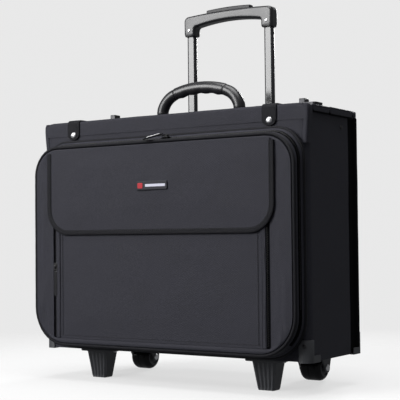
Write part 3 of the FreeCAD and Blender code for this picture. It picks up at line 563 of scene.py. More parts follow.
def make_walls():
    """Four cloth covered walls, the rim binding and the bottom."""
    wall_skin("front_wall_skin", "front_panel", flat_path(front, -1.0), plain_relief)
    wall_skin("rear_wall_skin", "rear_panel", flat_path(back, 1.0), plain_relief)
    for side, sign in SIDES.items():
        wall_skin(f"side_wall_skin_{side}", f"side_panel_{side}", side_path(sign), side_relief)

    plan = flat_path(front, -1.0)[:-1] + side_path(1)[:-1]
    plan += [(-x, y, out_x, out_y) for x, y, out_x, out_y in flat_path(back, 1.0)[:-1]]
    plan += side_path(-1)[::-1][:-1]
    shape = bmesh.new()
    rings = []
    for x, y, out_x, out_y in plan:
        ring = []
        for angle in around(10):
            reach = BINDING_RADIUS * math.cos(angle) - wall / 2
            level = rim - 0.4 * MM + min(0.4 * MM, 2.2 * MM * math.sin(angle))
            if math.sin(angle) < -0.5:
                level -= 1.5 * MM
            ring.append((x + out_x * reach, y + out_y * reach, level))
        rings.append(ring)
    loft(shape, rings, closed=True)
    finish_piece("rim_binding", shape, "binding", "case")

    make_rear_trims()
    low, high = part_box("bottom_panel")
    shape = bmesh.new()
    soft_box(shape, low, high, 30 * MM, 1.5 * MM)
    finish_piece("bottom_skin", shape, "case_fabric", "case", ("bottom_panel",))
    keep("base_board", "lining", 0.8 * MM)


def make_divider():
    """The padded wall of the laptop compartment, thinned towards its edges, with quilting lines."""
    low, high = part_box("laptop_divider")
    half, thick = high.x, high.y - low.y
    shape = bmesh.new()
    columns, rows = 56, 34
    sections = []
    for column in range(columns + 1):
        x = half * (2 * column / columns - 1)
        faces = ([], [])
        for row in range(rows + 1):
            z = low.z + (high.z - low.z) * row / rows
            edge = min(half - abs(x), z - low.z, high.z - z)
            quilt = abs(math.sin(math.pi * 4 * (x / (2 * half) + 0.5))) ** 0.35
            puff = smooth_step(edge, 0, 14 * MM) * (0.55 + 0.45 * quilt)
            puff += 0.06 * ripple((x, 0, z), 40 * MM) * smooth_step(edge, 0, 30 * MM)
            swell = thick * (0.22 + 0.28 * puff)
            middle = (low.y + high.y) / 2
            faces[0].append((x, middle - swell, z))
            faces[1].append((x, middle + swell, z))
        sections.append(faces[0] + faces[1][::-1])
    loft(shape, sections)
    piece = finish_piece("divider_pad", shape, "lining", "case", ("laptop_divider",))


STRAP_RIVET = (5 * MM, 2.2 * MM)
SIDE_RIVET = (3.4 * MM, 1.6 * MM)


def make_hardware_on_body():
    """Corner guards, rivets, feet screws and the strip behind the flaps."""
    keep("corner_guards", "moulded_plastic", 0.6 * MM)
    keep("corner_rivets", "lock_metal")
    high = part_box("case_rivets")[1]
    strap_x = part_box("hinge_straps")[1].x - 11 * MM
    strap_rivets, side_rivets = bmesh.new(), bmesh.new()
    for sign in SIDES.values():
        add_dome(strap_rivets, (sign * strap_x, front - 2 * MM, rim - 13 * MM), (0, -1, 0), *STRAP_RIVET)
        add_dome(side_rivets, (sign * half_width, high.y - 4 * MM, rim - 18 * MM), (sign, 0, 0), *SIDE_RIVET)
    finish_piece("strap_rivets", strap_rivets, "rivet_metal", "case", ("case_rivets",))
    finish_piece("side_rivets", side_rivets, "lock_metal", "case", ("case_rivets",))
    keep("foot_screws", "rivet_metal")
    low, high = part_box("rear_top_strip")
    outline = round_box(high.x, 0.0, high.y - low.y, 0.6 * MM, corner_round, SMALL)
    place = Matrix.Translation((0, low.y, 0))
    parts = ("rear_top_strip",)
    slab_piece("rear_strip_cover", "case_fabric", "case", outline, low.z, high.z, 1.6 * MM, place, parts)
    seam_y, seam_end = high.y - 4 * MM, high.x - SEAM_END
    line = [(-seam_end, seam_y, high.z), (seam_end, seam_y, high.z)]
    stitch("rear_strip_stitches", [line], (0, 0, 1), "case")


# ---------------------------------------------------------------- top flaps, straps and locks

FLAP_BOARD = 6 * MM
LIP_ROUND = 1.3 * MM
LIP_SHADE_HEIGHT = 2.6 * MM


def make_flap_cover(name, node, body, lip_start, lip_end, round_front, end_drop):
    """A stiff board in cloth, with a lip down each side and a near-black strip under each lip that paints the
    lip's shadow.
    """
    low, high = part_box(node)
    board_low = high.z - FLAP_BOARD
    shape = bmesh.new()
    outline = round_box(high.x, 0.0, high.y - low.y, round_front, 0.8 * MM, (30, 6, 8, 3, 30))

    def settle(point):
        """The cover's ends slope down a little."""
        share = smooth_step(point.z, board_low, high.z)
        return -share * end_drop * smooth_step(abs(point.x), high.x - 16 * MM, high.x)

    place = Matrix.Translation((0, low.y, 0))
    round_slab(shape, outline, board_low, high.z, 0.75 * MM, place, settle)
    # Near-black strips along the lips' lower edges: painted shadow under each lip.
    shade_strips = bmesh.new()
    lip_half = (lip_end - lip_start) / 2
    side = facing_right((lip_start + lip_end) / 2)
    lip = round_box(lip_half, low.z + 1.2 * MM, high.z - 0.4 * end_drop, 4 * MM, 2 * MM, (20, 5, 4, 5, 20))
    roll = round_box(lip_half - 1 * MM, low.z, low.z + LIP_SHADE_HEIGHT, 1.2 * MM, 0.8 * MM, (20, 3, 2, 3, 20))
    for sign in SIDES.values():
        near, far = sorted((sign * (half_width + 0.3 * MM), sign * (high.x + 0.7 * MM)))
        round_slab(shape, lip, near, far, LIP_ROUND, side)
        round_slab(shade_strips, roll, near + 0.3 * MM, far - 0.3 * MM, 0.6 * MM, side)
    finish_piece(name, shape, "case_fabric", body, (node,))
    finish_piece(f"{name}_lip_shade_strip", shade_strips, "shade_dark_trim", body)
    inset = 5 * MM
    seam_end = high.x - SEAM_END
    lines = []
    for y in (low.y + inset, high.y - inset):
        lines.append([(-seam_end, y, high.z), (seam_end, y, high.z)])
    side_top = high.z - 0.7 * end_drop
    for sign in SIDES.values():
        x = sign * (high.x - inset)
        lines.append([(x, low.y + SEAM_END, side_top), (x, high.y - SEAM_END, side_top)])
    stitch(f"{name}_stitches", lines, (0, 0, 1), body)


def make_lid():
    """The two top flaps."""
    lip_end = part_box("front_flap")[1].y
    make_flap_cover(
        "front_flap_cover", "front_flap", "front_flap", front + 12 * MM, lip_end, corner_round, 3.2 * MM
    )
    lip_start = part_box("rear_flap")[0].y
    lip_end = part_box("rear_top_strip")[0].y - 8 * MM
    make_flap_cover(
        "rear_flap_cover", "rear_flap", "rear_flap", lip_start, lip_end, 0.8 * MM, 1.6 * MM
    )


def edge_path(lift):
    """The way from the front wall over the lid's edge, lifted off it: (y, z, outward y, outward z)."""
    bend = 3.5 * MM
    centre_y, centre_z = front + bend, lid_top - bend
    path = []
    for step in range(7):
        path.append((front - lift, rim - (14 - 1.2 * step) * MM, -1.0, 0.0))
    for step in range(9):
        angle = math.radians(180 - 90 * step / 8)
        out_y, out_z = math.cos(angle), math.sin(angle)
        path.append((centre_y + (bend + lift) * out_y, centre_z + (bend + lift) * out_z, out_y, out_z))
    for step in range(1, 5):
        path.append((centre_y + 2.5 * step * MM, lid_top + lift, 0.0, 1.0))
    return path


def make_hinge_cloth():
    """The cloth that joins the front wall to the front flap, over its whole width."""
    reach = half_width - 3 * MM
    columns = 60
    shape = bmesh.new()
    rings = []
    for column in range(columns + 1):
        x = reach * (2 * column / columns - 1)
        sag = 3.0 * MM * smooth_step(abs(x), reach - 16 * MM, reach)
        outside, inside = [], []
        for y, z, out_y, out_z in edge_path(0.45 * MM):
            puff = 0.3 * MM * ripple((x, y, z), 24 * MM, 12.0)
            drop = sag * smooth_step(z, rim, lid_top)
            outside.append((x, y + out_y * puff, z + out_z * puff - drop))
            inside.append((x, y - out_y * 0.9 * MM, z - out_z * 0.9 * MM - drop))
        rings.append(outside + inside[::-1])
    loft(shape, rings)
    cloth = finish_piece("front_hinge_cloth", shape, "case_fabric", None)
    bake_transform(cloth)


def make_hinge_corners():
    """The folded ends of the hinge cloth: they round off the lid's front corners and lie on the wall."""
    lip_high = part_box("front_flap")[1]
    depth = 12.4 * MM
    width = 9 * MM
    low, top = rim - 46 * MM, lip_high.z - 1.2 * MM
    levels = 22
    start, end = (0, front, rim + 2 * MM), (0, front + 5 * MM, lid_top)
    for side, sign in SIDES.items():
        rings = []
        for level in range(levels + 1):
            z = low + (top - low) * level / levels
            swell = smooth_step(z, low, rim)
            shrink = 2.2 * MM * smooth_step(z, top - 4 * MM, top)
            reach = half_width + 0.2 * MM + (lip_high.x - half_width + 0.3 * MM) * swell - shrink
            plan = round_box(width / 2, -0.3 * MM, depth - shrink, 3.5 * MM, 1.0 * MM, SMALL)
            ring = []
            for x, y, _, _ in plan:
                fold = 0.35 * MM * ripple((x, y, z), 14 * MM, 21.0) * swell
                ring.append((sign * (reach - width / 2 + fold) + x, front + y - 0.3 * MM * swell, z))
            rings.append(ring)
        shape = bmesh.new()
        loft(shape, rings)
        corner = finish_piece(f"hinge_corner_{side}", shape, "case_fabric", None)
        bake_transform(corner)
        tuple(start)
        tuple(end)


STRAP_INNER = 162 * MM
STRAP_END_ROUND = 9.5 * MM
# Corners of a strap's section: share of its half width, and height in millimetres.
STRAP_SECTION = (
    (-1, -0.7), (-1, 0.5), (-0.94, 0.9), (0, 1.05), (0.94, 0.9), (1, 0.5), (1, -0.7), (0, -0.9),
)


def strap_path(low_z, end_y):
    """The way of a hinge strap, from its lower end on the wall to its upper end on the flap."""
    base = edge_path(1.6 * MM)
    first, last = base[0], base[-1]
    lower, upper = 12, 9
    path = []
    for step in range(lower):
        path.append((first[0], low_z + (first[1] - low_z) * step / lower, -1.0, 0.0))
    path += base
    for step in range(1, upper + 1):
        path.append((last[0] + (end_y - last[0]) * step / upper, last[1], 0.0, 1.0))
    return path


def make_straps():
    """Hinge straps that bend over the front edge of the lid, and the rivets on their upper ends."""
    low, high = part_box("hinge_straps")
    half = (high.x - STRAP_INNER) / 2
    offset = high.x - half
    path = strap_path(low.z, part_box("flap_straps")[1].y)
    lengths = [0.0]
    for (y0, z0, _, _), (y1, z1, _, _) in zip(path, path[1:]):
        lengths.append(lengths[-1] + math.hypot(y1 - y0, z1 - z0))
    start, end = (0, front - 1 * MM, rim), (0, front + 4 * MM, lid_top + 1 * MM)
    for side, sign in SIDES.items():
        rings = []
        for (y, z, out_y, out_z), run in zip(path, lengths):
            nearest = min(run, lengths[-1] - run)
            cut = max(0.0, STRAP_END_ROUND - nearest)
            bulge = math.sqrt(max(0.0, STRAP_END_ROUND * STRAP_END_ROUND - cut * cut))
            reach = half - STRAP_END_ROUND + bulge + 0.3 * MM
            ring = []
            for share, lift in STRAP_SECTION:
                x = sign * offset + share * reach
                ring.append((x, y + out_y * lift * MM, z + out_z * lift * MM))
            rings.append(ring)
        shape = bmesh.new()
        loft(shape, rings)
        strap = finish_piece(f"hinge_strap_{side}", shape, "binding", None, ("hinge_straps", "flap_straps"))
        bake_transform(strap)
        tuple(start)
        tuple(end)
    shape = bmesh.new()
    for sign in SIDES.values():
        add_dome(shape, (sign * offset, front + 20 * MM, lid_top + 2 * MM), (0, 0, 1), *STRAP_RIVET)
    finish_piece("flap_rivets", shape, "rivet_metal", "front_flap", ("flap_straps",))


def add_dome(shape, centre, facing, radius, height):
    """A domed head with a small flat flange."""
    side = Vector((1, 0, 0)) if abs(facing[0]) < 0.5 else Vector((0, 1, 0))
    matrix = frame_at(centre, side, facing)
    rings = []
    for share, rise in ((1.0, 0.0), (1.0, 0.15), (0.9, 0.45), (0.72, 0.72), (0.45, 0.92), (0.15, 1.0)):
        ring = []
        for angle in around(24):
            reach = share * radius
            ring.append(matrix @ Vector((reach * math.cos(angle), reach * math.sin(angle), rise * height)))
        rings.append(ring)
    loft(shape, rings)


def make_locks():
    """Slide locks on the rear flap and their strike plates."""
    keep("lock_bodies", "lock_metal", 0.8 * MM)
    keep("lock_slide_left", "lock_metal", 0.4 * MM)
    keep("lock_slide_right", "lock_metal", 0.4 * MM)
    keep("lock_strikes", "lock_metal", 0.3 * MM)
    keep("handle_mounts", "lock_metal", 0.4 * MM)
    keep("handle_pins", "rivet_metal", 0.3 * MM)


# ---------------------------------------------------------------- carry handle

def sweep(shape, stations):
    """A rod through stations of (centre, side direction, up direction, half width, height above, below)."""
    rings = []
    for centre, side, up, half_side, above, below in stations:
        ring = []
        for angle in around(28):
            rise = math.sin(angle)
            height = above if rise > 0 else below
            ring.append(centre + side * half_side * math.cos(angle) + up * height * rise)
        rings.append(ring)
    loft(shape, rings)


GRIP_BEND = 155 * MM
LEG_BEND = 36 * MM
GRIP_HALF_ANGLE = math.radians(17.1)
LEG_END_ANGLE = math.radians(72)
PIVOT_OFFSET = 71 * MM
FINGERS = 4


def outward(sign, angle):
    """The direction at an angle from upright, towards one side."""
    return Vector((sign * math.sin(angle), 0, math.cos(angle)))


def make_handle():
    """The arched grip with finger bumps underneath, and the legs that run down to the pivots."""
    grip_low, grip_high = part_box("handle_grip")
    middle = (grip_low.y + grip_high.y) / 2
    radius = (grip_high.y - grip_low.y) / 2
    centre_z = grip_high.z - radius - GRIP_BEND
    across = Vector((0, 1, 0))
    shape = bmesh.new()
    stations = []
    count = 72
    for step in range(count + 1):
        share = step / count
        out = outward(1, GRIP_HALF_ANGLE * (2 * share - 1) * 0.985)
        centre = Vector((0, middle, centre_z)) + out * GRIP_BEND
        end = min(share, 1 - share)
        bumps = 0.5 - 0.5 * math.cos(2 * math.pi * FINGERS * share)
        shrink = 0.93 + 0.07 * smooth_step(end, 0.0, 0.02)
        below = radius * (0.92 + 0.15 * bumps * smooth_step(end, 0.02, 0.12))
        stations.append((centre, across, out, radius * 0.98 * shrink, radius * 1.05 * shrink, below * shrink))
    sweep(shape, stations)
    finish_piece("handle_grip_moulding", shape, "grip_plastic", "carry_handle", ("handle_grip",))

    offset = GRIP_BEND - LEG_BEND
    pivot_low, pivot_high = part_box("handle_pins")
    pivot_z = (pivot_low.z + pivot_high.z) / 2
    shape = bmesh.new()
    for sign in SIDES.values():
        hub = Vector((0, middle, centre_z)) + offset * outward(sign, GRIP_HALF_ANGLE)
        stations = []
        turn = 18
        for step in range(turn + 1):
            share = step / turn
            out = outward(sign, GRIP_HALF_ANGLE + (LEG_END_ANGLE - GRIP_HALF_ANGLE) * share)
            size = radius * (0.96 + 0.04 * share) * (0.97 if step == 0 else 1.0)
            stations.append((hub + out * LEG_BEND, across, out, size, size, size))
        last = stations[-1][0]
        target = Vector((sign * PIVOT_OFFSET, middle, pivot_z - 4.6 * MM))
        down = 10
        for step in range(1, down + 1):
            share = step / down
            centre = last.lerp(target, share)
            out = outward(sign, LEG_END_ANGLE + (math.pi / 2 - LEG_END_ANGLE) * min(1.0, 2 * share))
            width = radius + (5.5 * MM - radius) * smooth_step(share, 0.35, 0.75)
            deep = radius + (5.4 * MM - radius) * smooth_step(share, 0.35, 0.75)
            if step >= down - 1:
                shrink = 0.85 if step == down - 1 else 0.45
                width, deep = width * shrink, deep * shrink
            stations.append((centre, across, out, deep, width, width))
        sweep(shape, stations)
    finish_piece("handle_leg_mouldings", shape, "grip_plastic", "carry_handle", ("handle_legs",))


# ---------------------------------------------------------------- front pocket

def pocket_outline(y, inset=0.0):
    """The pocket's outline in the plane y, drawn in by an inset."""
    share = (y - rear_cord_y) / (front_cord_y - rear_cord_y)
    ends = []
    for box in (rear_cord, front_cord):
        ends.append((box[1].x - cord_radius, box[0].z + cord_radius, box[1].z - cord_radius))
    half, low, high = [near + (far - near) * share for near, far in zip(*ends)]
    return round_box(
        half - inset, low + inset, high - inset, POCKET_ROUND_LOW - inset, POCKET_ROUND_HIGH - inset
    )


def make_piping(name, node, y, body):
    """A covered cord round the pocket, gathered a little by its seam."""
    shape = bmesh.new()
    rings = []
    for x, z, out_x, out_z in pocket_outline(y):
        swell = cord_radius * (0.98 + 0.05 * ripple((x, y, z), 9 * MM))
        ring = []
        for angle in around(14):
            reach = swell * math.cos(angle)
            ring.append((x + out_x * reach, y + swell * math.sin(angle), z + out_z * reach))
        rings.append(ring)
    loft(shape, rings, closed=True)
    finish_piece(name, shape, "binding", body, (node,))


def make_gusset(name, node, near, far, body, puff):
    """The soft wall round the pocket between two planes: it bulges slightly and ripples along its seams."""
    steps = 8
    cloth = 1.6 * MM
    planes = [near + (far - near) * step / steps for step in range(steps + 1)]
    outlines = [pocket_outline(y) for y in planes]
    shape = bmesh.new()
    rings = []
    for index in range(len(outlines[0])):
        outside, inside = [], []
        for step, (y, outline) in enumerate(zip(planes, outlines)):
            x, z, out_x, out_z = outline[index]
            swell = math.sin(math.pi * step / steps)
            lift = puff * swell * (0.7 + 0.5 * ripple((x, y, z), 28 * MM, 5.0)) - 0.5 * MM * (1 - swell)
            outside.append((x + out_x * lift, y, z + out_z * lift))
            inside.append((x + out_x * (lift - cloth), y, z + out_z * (lift - cloth)))
        rings.append(outside + inside[::-1])
    loft(shape, rings, closed=True)
    finish_piece(name, shape, "case_fabric", body, (node,))


def make_pocket_walls():
    """Both piping cords and both halves of the soft wall, with a cloth hinge joining them at the bottom."""
    zip_low, zip_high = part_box("main_zip_chain")
    zip_y = (zip_low.y + zip_high.y) / 2
    tape = 4.2 * MM
    puff = 0.8 * MM
    make_piping("rear_piping_cord", "rear_piping", rear_cord_y, "case")
    make_piping("front_piping_cord", "front_piping", front_cord_y, "pocket_front")
    near, far = front - 0.2 * MM, zip_y + tape
    make_gusset("pocket_rear_wall", "pocket_rear_gusset", near, far, "case", puff)
    near, far = zip_y - tape, front_cord_y + cord_radius
    make_gusset("pocket_front_wall", "pocket_front_gusset", near, far, "pocket_front", puff)

    hinge_top = 70 * MM
    steps = 6
    shape = bmesh.new()
    near, far = zip_y + tape + 1.5 * MM, zip_y - tape - 1.5 * MM
    planes = [near + (far - near) * step / steps for step in range(steps + 1)]
    outlines = [pocket_outline(y, 0.9 * MM) for y in planes]
    picked = [index for index in range(len(outlines[0])) if outlines[0][index][1] < hinge_top]
    count = len(outlines[0])
    turned = sorted(picked, key=lambda index: (index + count // 2) % count)
    rings = []
    for index in turned:
        outside, inside = [], []
        for y, outline in zip(planes, outlines):
            x, z, out_x, out_z = outline[index]
            outside.append((x, y, z))
            inside.append((x - out_x * 1.2 * MM, y, z - out_z * 1.2 * MM))
        rings.append(outside + inside[::-1])
    loft(shape, rings)
    hinge = finish_piece("pocket_hinge_cloth", shape, "case_fabric", None)
    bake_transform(hinge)


def make_main_zip():
    """Tape and teeth of the zip that runs round the pocket between its two soft walls."""
    low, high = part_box("main_zip_chain")
    zip_y = (low.y + high.y) / 2
    outline = pocket_outline(zip_y)
    tape_low = 62 * MM
    run = [index for index in range(len(outline)) if outline[index][1] > tape_low]
    for name, near, far, body in (
        ("main_zip_tape_rear", zip_y + 6 * MM, zip_y + 0.5 * MM, "case"),
        ("main_zip_tape_front", zip_y - 0.5 * MM, zip_y - 6 * MM, "pocket_front"),
    ):
        shape = bmesh.new()
        near_outline, far_outline = pocket_outline(near, 1.0 * MM), pocket_outline(far, 1.0 * MM)
        rings = []
        for index in run:
            ring = []
            for y, points, inset in (
                (near, near_outline, 0.0),
                (far, far_outline, 0.0),
                (far, far_outline, 0.7 * MM),
                (near, near_outline, 0.7 * MM),
            ):
                x, z, out_x, out_z = points[index]
                ring.append((x - out_x * inset, y, z - out_z * inset))
            rings.append(ring)
        loft(shape, rings)
        finish_piece(name, shape, "zip_tape", body)

    path = [(x, zip_y, z) for x, z, _, _ in outline if z > low.z]
    shape = bmesh.new()
    corners = lump_corners(0.95 * MM, 2.4 * MM, 1.3 * MM, 0.75)
    places = []
    for order, (point, along) in enumerate(walk(path, 1.5 * MM)):
        outward = along.cross(Vector((0, 1, 0)))
        if outward.dot(point - Vector((0, zip_y, (low.z + high.z) / 2))) < 0:
            outward = -outward
        side = 0.45 * MM if order % 2 else -0.45 * MM
        places.append(frame_at(point + Vector((0, side, 0)) - outward * 1.2 * MM, along, outward))
    scatter(shape, corners, places)
    finish_piece("main_zip_teeth", shape, "zip_metal", "pocket_front", ("main_zip_chain",), crease=20)


def add_bridge(shape, centre, along, up, reach, rise, half_wide, half_thick, steps):
    """The wire bridge of a slider: half an oval over the centre."""
    stations = []
    for step in range(steps + 1):
        angle = math.pi * step / steps
        place = centre + along * reach * math.cos(angle) + up * rise * math.sin(angle)
        out = along * math.cos(angle) + up * math.sin(angle)
        stations.append((place, along.cross(up), out, half_wide, half_thick, half_thick))
    sweep(shape, stations)


def make_main_slider():
    """The slider body with its bridge, and the long soft pull with a bright bar on it."""
    low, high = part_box("main_zip_slider")
    middle = (low + high) / 2
    shape = bmesh.new()
    plate = round_box(6 * MM, -4 * MM, 4 * MM, 2 * MM, 3 * MM, SMALL)
    place = Matrix.Translation((middle.x, (low.y + high.y) / 2, 0))
    round_slab(shape, plate, low.z, low.z + 1.3 * MM, 0.5 * MM, place)
    neck = round_box(2.2 * MM, -2.2 * MM, 2.2 * MM, 1 * MM, 1 * MM, SMALL)
    round_slab(shape, neck, low.z + 1 * MM, low.z + 2.6 * MM, 0.3 * MM, place)
    cap = round_box(5 * MM, -3.4 * MM, 3.4 * MM, 1.6 * MM, 2.6 * MM, SMALL)
    round_slab(shape, cap, low.z + 2.2 * MM, low.z + 3.5 * MM, 0.5 * MM, place)
    add_bridge(
        shape, Vector((middle.x, middle.y, low.z + 3.2 * MM)), Vector((-1, 0, 0)), Vector((0, 0, 1)),
        3.6 * MM, 1.9 * MM, 1.3 * MM, 0.45 * MM, 12,
    )
    finish_piece("main_slider_body", shape, "zip_metal", "main_slider", ("main_zip_slider",))

    root = Vector((middle.x - 3.5 * MM, front - 18 * MM, low.z + 4.9 * MM))
    turn = Matrix.Rotation(math.radians(131), 4, "Z") @ Matrix.Rotation(math.radians(-16), 4, "X")
    place = Matrix.Translation(root) @ turn
    shape = bmesh.new()
    strap = round_box(4.6 * MM, 0.8 * MM, 31 * MM, 2 * MM, 4 * MM, (3, 5, 12, 6, 3))
    round_slab(shape, strap, 0.0, 1.9 * MM, 0.8 * MM, place)
    core = bmesh.new()
    bar = round_box(1.9 * MM, 5 * MM, 25 * MM, 1.5 * MM, 1.8 * MM, (3, 4, 10, 5, 3))
    round_slab(core, bar, 1.4 * MM, 2.9 * MM, 0.6 * MM, place)
    finish_piece("main_pull_bar", core, "rivet_metal", "main_pull", ("main_zip_pull",))
    finish_piece("main_pull_strap", shape, "button_plastic", "main_pull", ("main_zip_pull",))


def sheet_between(shape, rows, half_at, surface, thickness, columns):
    """A sheet whose rows of heights have their own half widths, with a surface y and a thickness."""
    sections = []
    for z in rows:
        half = half_at(z)
        face, reverse = [], []
        for column in range(columns + 1):
            x = half * (2 * column / columns - 1)
            y = surface(x, z)
            face.append((x, y, z))
            reverse.append((x, y + thickness, z))
        sections.append(face + reverse[::-1])
    loft(shape, sections)


def rounded_half(z, half, low, high, round_low, round_high):
    """Half the width of a rounded rectangle at height z."""
    for level, radius in ((low + round_low - z, round_low), (z - high + round_high, round_high)):
        if level > 0:
            return half - radius + math.sqrt(max(0.0, radius * radius - level * level))
    return half


def heights_between(low, high, round_low, round_high, step):
    """Heights from low to high, closer together where the corners turn."""
    heights = []
    for index in range(12):
        heights.append(low + round_low * (1 - math.cos(math.radians(90 * index / 12))))
    count = max(2, round((high - round_high - low - round_low) / step))
    for index in range(count + 1):
        heights.append(low + round_low + (high - round_high - low - round_low) * index / count)
    for index in range(1, 7):
        heights.append(high - round_high + round_high * math.sin(math.radians(90 * index / 6)))
    return heights


def make_pocket_front():
    """The stiff frame round the window, the lining behind it and the accessory pocket's sheet."""
    face = pocket_face
    panel_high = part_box("pocket_front_panel")[1]
    zips_low, zips_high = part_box("side_zips")
    window_half = zips_high.x + 0.4 * MM
    window_low, window_high = zips_low.z - 0.3 * MM, zips_high.z + 0.3 * MM
    inset = front_cord[1].x - cord_radius - panel_high.x
    outer = pocket_outline(front_cord_y, inset)
    inner = round_box(window_half, window_low, window_high, 3 * MM, 3 * MM)
    shape = bmesh.new()
    rings = []
    steps = 12
    for (x0, z0, _, _), (x1, z1, _, _) in zip(outer, inner):
        facing, reverse = [], []
        for step in range(steps + 1):
            share = step / steps
            x, z = x0 + (x1 - x0) * share, z0 + (z1 - z0) * share
            swell = math.sin(math.pi * min(1.0, share * 1.1 + 0.05))
            beside = smooth_step(abs(x), window_half, window_half + 6 * MM)
            fold = abs(ripple((3 * x, 0, 0.55 * z), 34 * MM, 2.0)) * beside
            y = face - (0.6 + 0.4 * ripple((x, 0, z), 30 * MM, 2.0) + 1.9 * fold) * swell * MM
            facing.append((x, y, z))
            reverse.append((x, face + 1.9 * MM, z))
        rings.append(facing + reverse[::-1])
    loft(shape, rings, closed=True)
    finish_piece("pocket_face_frame", shape, "case_fabric", "pocket_front", ("pocket_front_panel",))

    low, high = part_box("accessory_lining")
    rounds = (POCKET_ROUND_LOW - inset, POCKET_ROUND_HIGH - inset)
    shape = bmesh.new()
    sheet_between(
        shape,
        heights_between(low.z, high.z, *rounds, 12 * MM),
        lambda z: rounded_half(z, high.x, low.z, high.z, *rounds),
        lambda x, z: low.y + 0.3 * MM * ripple((x, 0, z), 50 * MM, 7.0),
        1.6 * MM,
        40,
    )
    finish_piece("accessory_lining_sheet", shape, "lining", "pocket_front", ("accessory_lining",))

    low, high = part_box("accessory_panel")
    shape = bmesh.new()

    def bulge(x, z):
        """The sheet hangs slightly full below the flap, and flat at its edges."""
        edge = min(high.x - abs(x), z - low.z)
        free = smooth_step(edge, 0, 40 * MM) * (1 - smooth_step(z, 190 * MM, 235 * MM))
        return low.y - (0.9 + 0.7 * ripple((x, 0, z), 60 * MM, 1.0)) * free * MM

    sheet_between(
        shape,
        heights_between(low.z, high.z, 3 * MM, 3 * MM, 6 * MM),
        lambda z: rounded_half(z, high.x, low.z, high.z, 3 * MM, 3 * MM),
        bulge,
        1.8 * MM,
        64,
    )
    finish_piece("accessory_sheet", shape, "case_fabric", "pocket_front", ("accessory_panel",))
    seam_z = low.z + 4 * MM
    line = [(-high.x, low.y, seam_z), (high.x, low.y, seam_z)]
    stitch("accessory_bottom_stitches", [line], (0, -1, 0), "pocket_front")


SIDE_ZIP_CENTRE = 184 * MM
FOLD_INNER = 175.2 * MM
FOLD_OUTER = 182.9 * MM
FOLD_SEAM = 170.4 * MM


def make_side_zips():
    """The two upright zips: tape, teeth, the folded strip beside each and its row of stitches."""
    low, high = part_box("side_zips")
    surface = pocket_face
    tapes, teeth, folds, lines = bmesh.new(), bmesh.new(), bmesh.new(), []
    tooth = lump_corners(0.9 * MM, 2.6 * MM, 1.1 * MM, 0.75)
    rise = (high.z - low.z) / 2
    middle_z = (high.z + low.z) / 2
    width = (FOLD_OUTER - FOLD_INNER) / 2
    tape = round_box(4.5 * MM, -rise, rise, 0.5 * MM, 0.5 * MM, (2, 2, 60, 2, 2))
    fold = round_box(width, -rise, rise, 1.2 * MM, 1.2 * MM, (2, 3, 60, 3, 2))

    def waver(point):
        """The fold's face is slightly uneven."""
        return 0.22 * MM * ripple((point.x, 0, point.y), 22 * MM, 4.0)

    for sign in SIDES.values():
        place = upright(surface) @ Matrix.Translation((sign * SIDE_ZIP_CENTRE, middle_z, 0))
        round_slab(tapes, tape, -2.2 * MM, -1.5 * MM, 0.25 * MM, place)
        depth = surface + 1.6 * MM
        path = [(sign * SIDE_ZIP_CENTRE, depth, z) for z in (low.z + 2 * MM, high.z - 2 * MM)]
        places = []
        for order, (point, along) in enumerate(walk(path, 1.5 * MM)):
            side = 0.45 * MM if order % 2 else -0.45 * MM
            places.append(frame_at(point + Vector((side, 0, 0)), along, (0, -1, 0)))
        scatter(teeth, tooth, places)
        shift = Matrix.Translation((sign * (FOLD_INNER + width), middle_z, 0))
        round_slab(folds, fold, -0.9 * MM, 1.3 * MM, 0.9 * MM, upright(surface) @ shift, waver)
        seam_x, seam_y = sign * FOLD_SEAM, surface - 0.7 * MM
        lines.append([(seam_x, seam_y, low.z + 4 * MM), (seam_x, seam_y, high.z - 4 * MM)])
    finish_piece("side_zip_tapes", tapes, "zip_tape", "pocket_front", ("side_zips",))
    finish_piece("side_zip_teeth", teeth, "zip_metal", "pocket_front", ("side_zips",), crease=20)
    finish_piece("side_zip_folds", folds, "case_fabric", "pocket_front")
    stitch("side_zip_stitches", lines, (0, -1, 0), "pocket_front")


def make_side_sliders():
    """A small slider and a hanging pull on each upright zip."""
    for side in SIDES:
        low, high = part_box(f"side_zip_slider_{side}")
        middle = (low + high) / 2
        shape = bmesh.new()
        body = round_box(4 * MM, -6 * MM, 6 * MM, 1.5 * MM, 2.5 * MM, SMALL)
        place = upright(high.y) @ Matrix.Translation((middle.x, middle.z, 0))
        round_slab(shape, body, 0.0, 1.2 * MM, 0.45 * MM, place)
        add_bridge(
            shape, Vector((middle.x, high.y - 1.0 * MM, middle.z)), Vector((0, 0, 1)), Vector((0, -1, 0)),
            3.4 * MM, 1.3 * MM, 1.2 * MM, 0.4 * MM, 10,
        )
        parts = (f"side_zip_slider_{side}",)
        finish_piece(f"side_slider_body_{side}", shape, "zip_metal", f"side_slider_{side}", parts)

        low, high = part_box(f"side_zip_pull_{side}")
        middle = (low + high) / 2
        half_long = (high.z - low.z) / 2
        body = "side_pull_left" if side == "left" else "side_slider_right"
        shape = bmesh.new()
        place = upright(high.y) @ Matrix.Translation((middle.x, middle.z, 0))
        strap = round_box(3.1 * MM, -half_long, half_long, 3 * MM, 1.6 * MM, (2, 6, 12, 4, 2))
        round_slab(shape, strap, 0.0, high.y - low.y, 0.5 * MM, place)
        finish_piece(f"side_pull_strap_{side}", shape, "button_plastic", body, (f"side_zip_pull_{side}",))


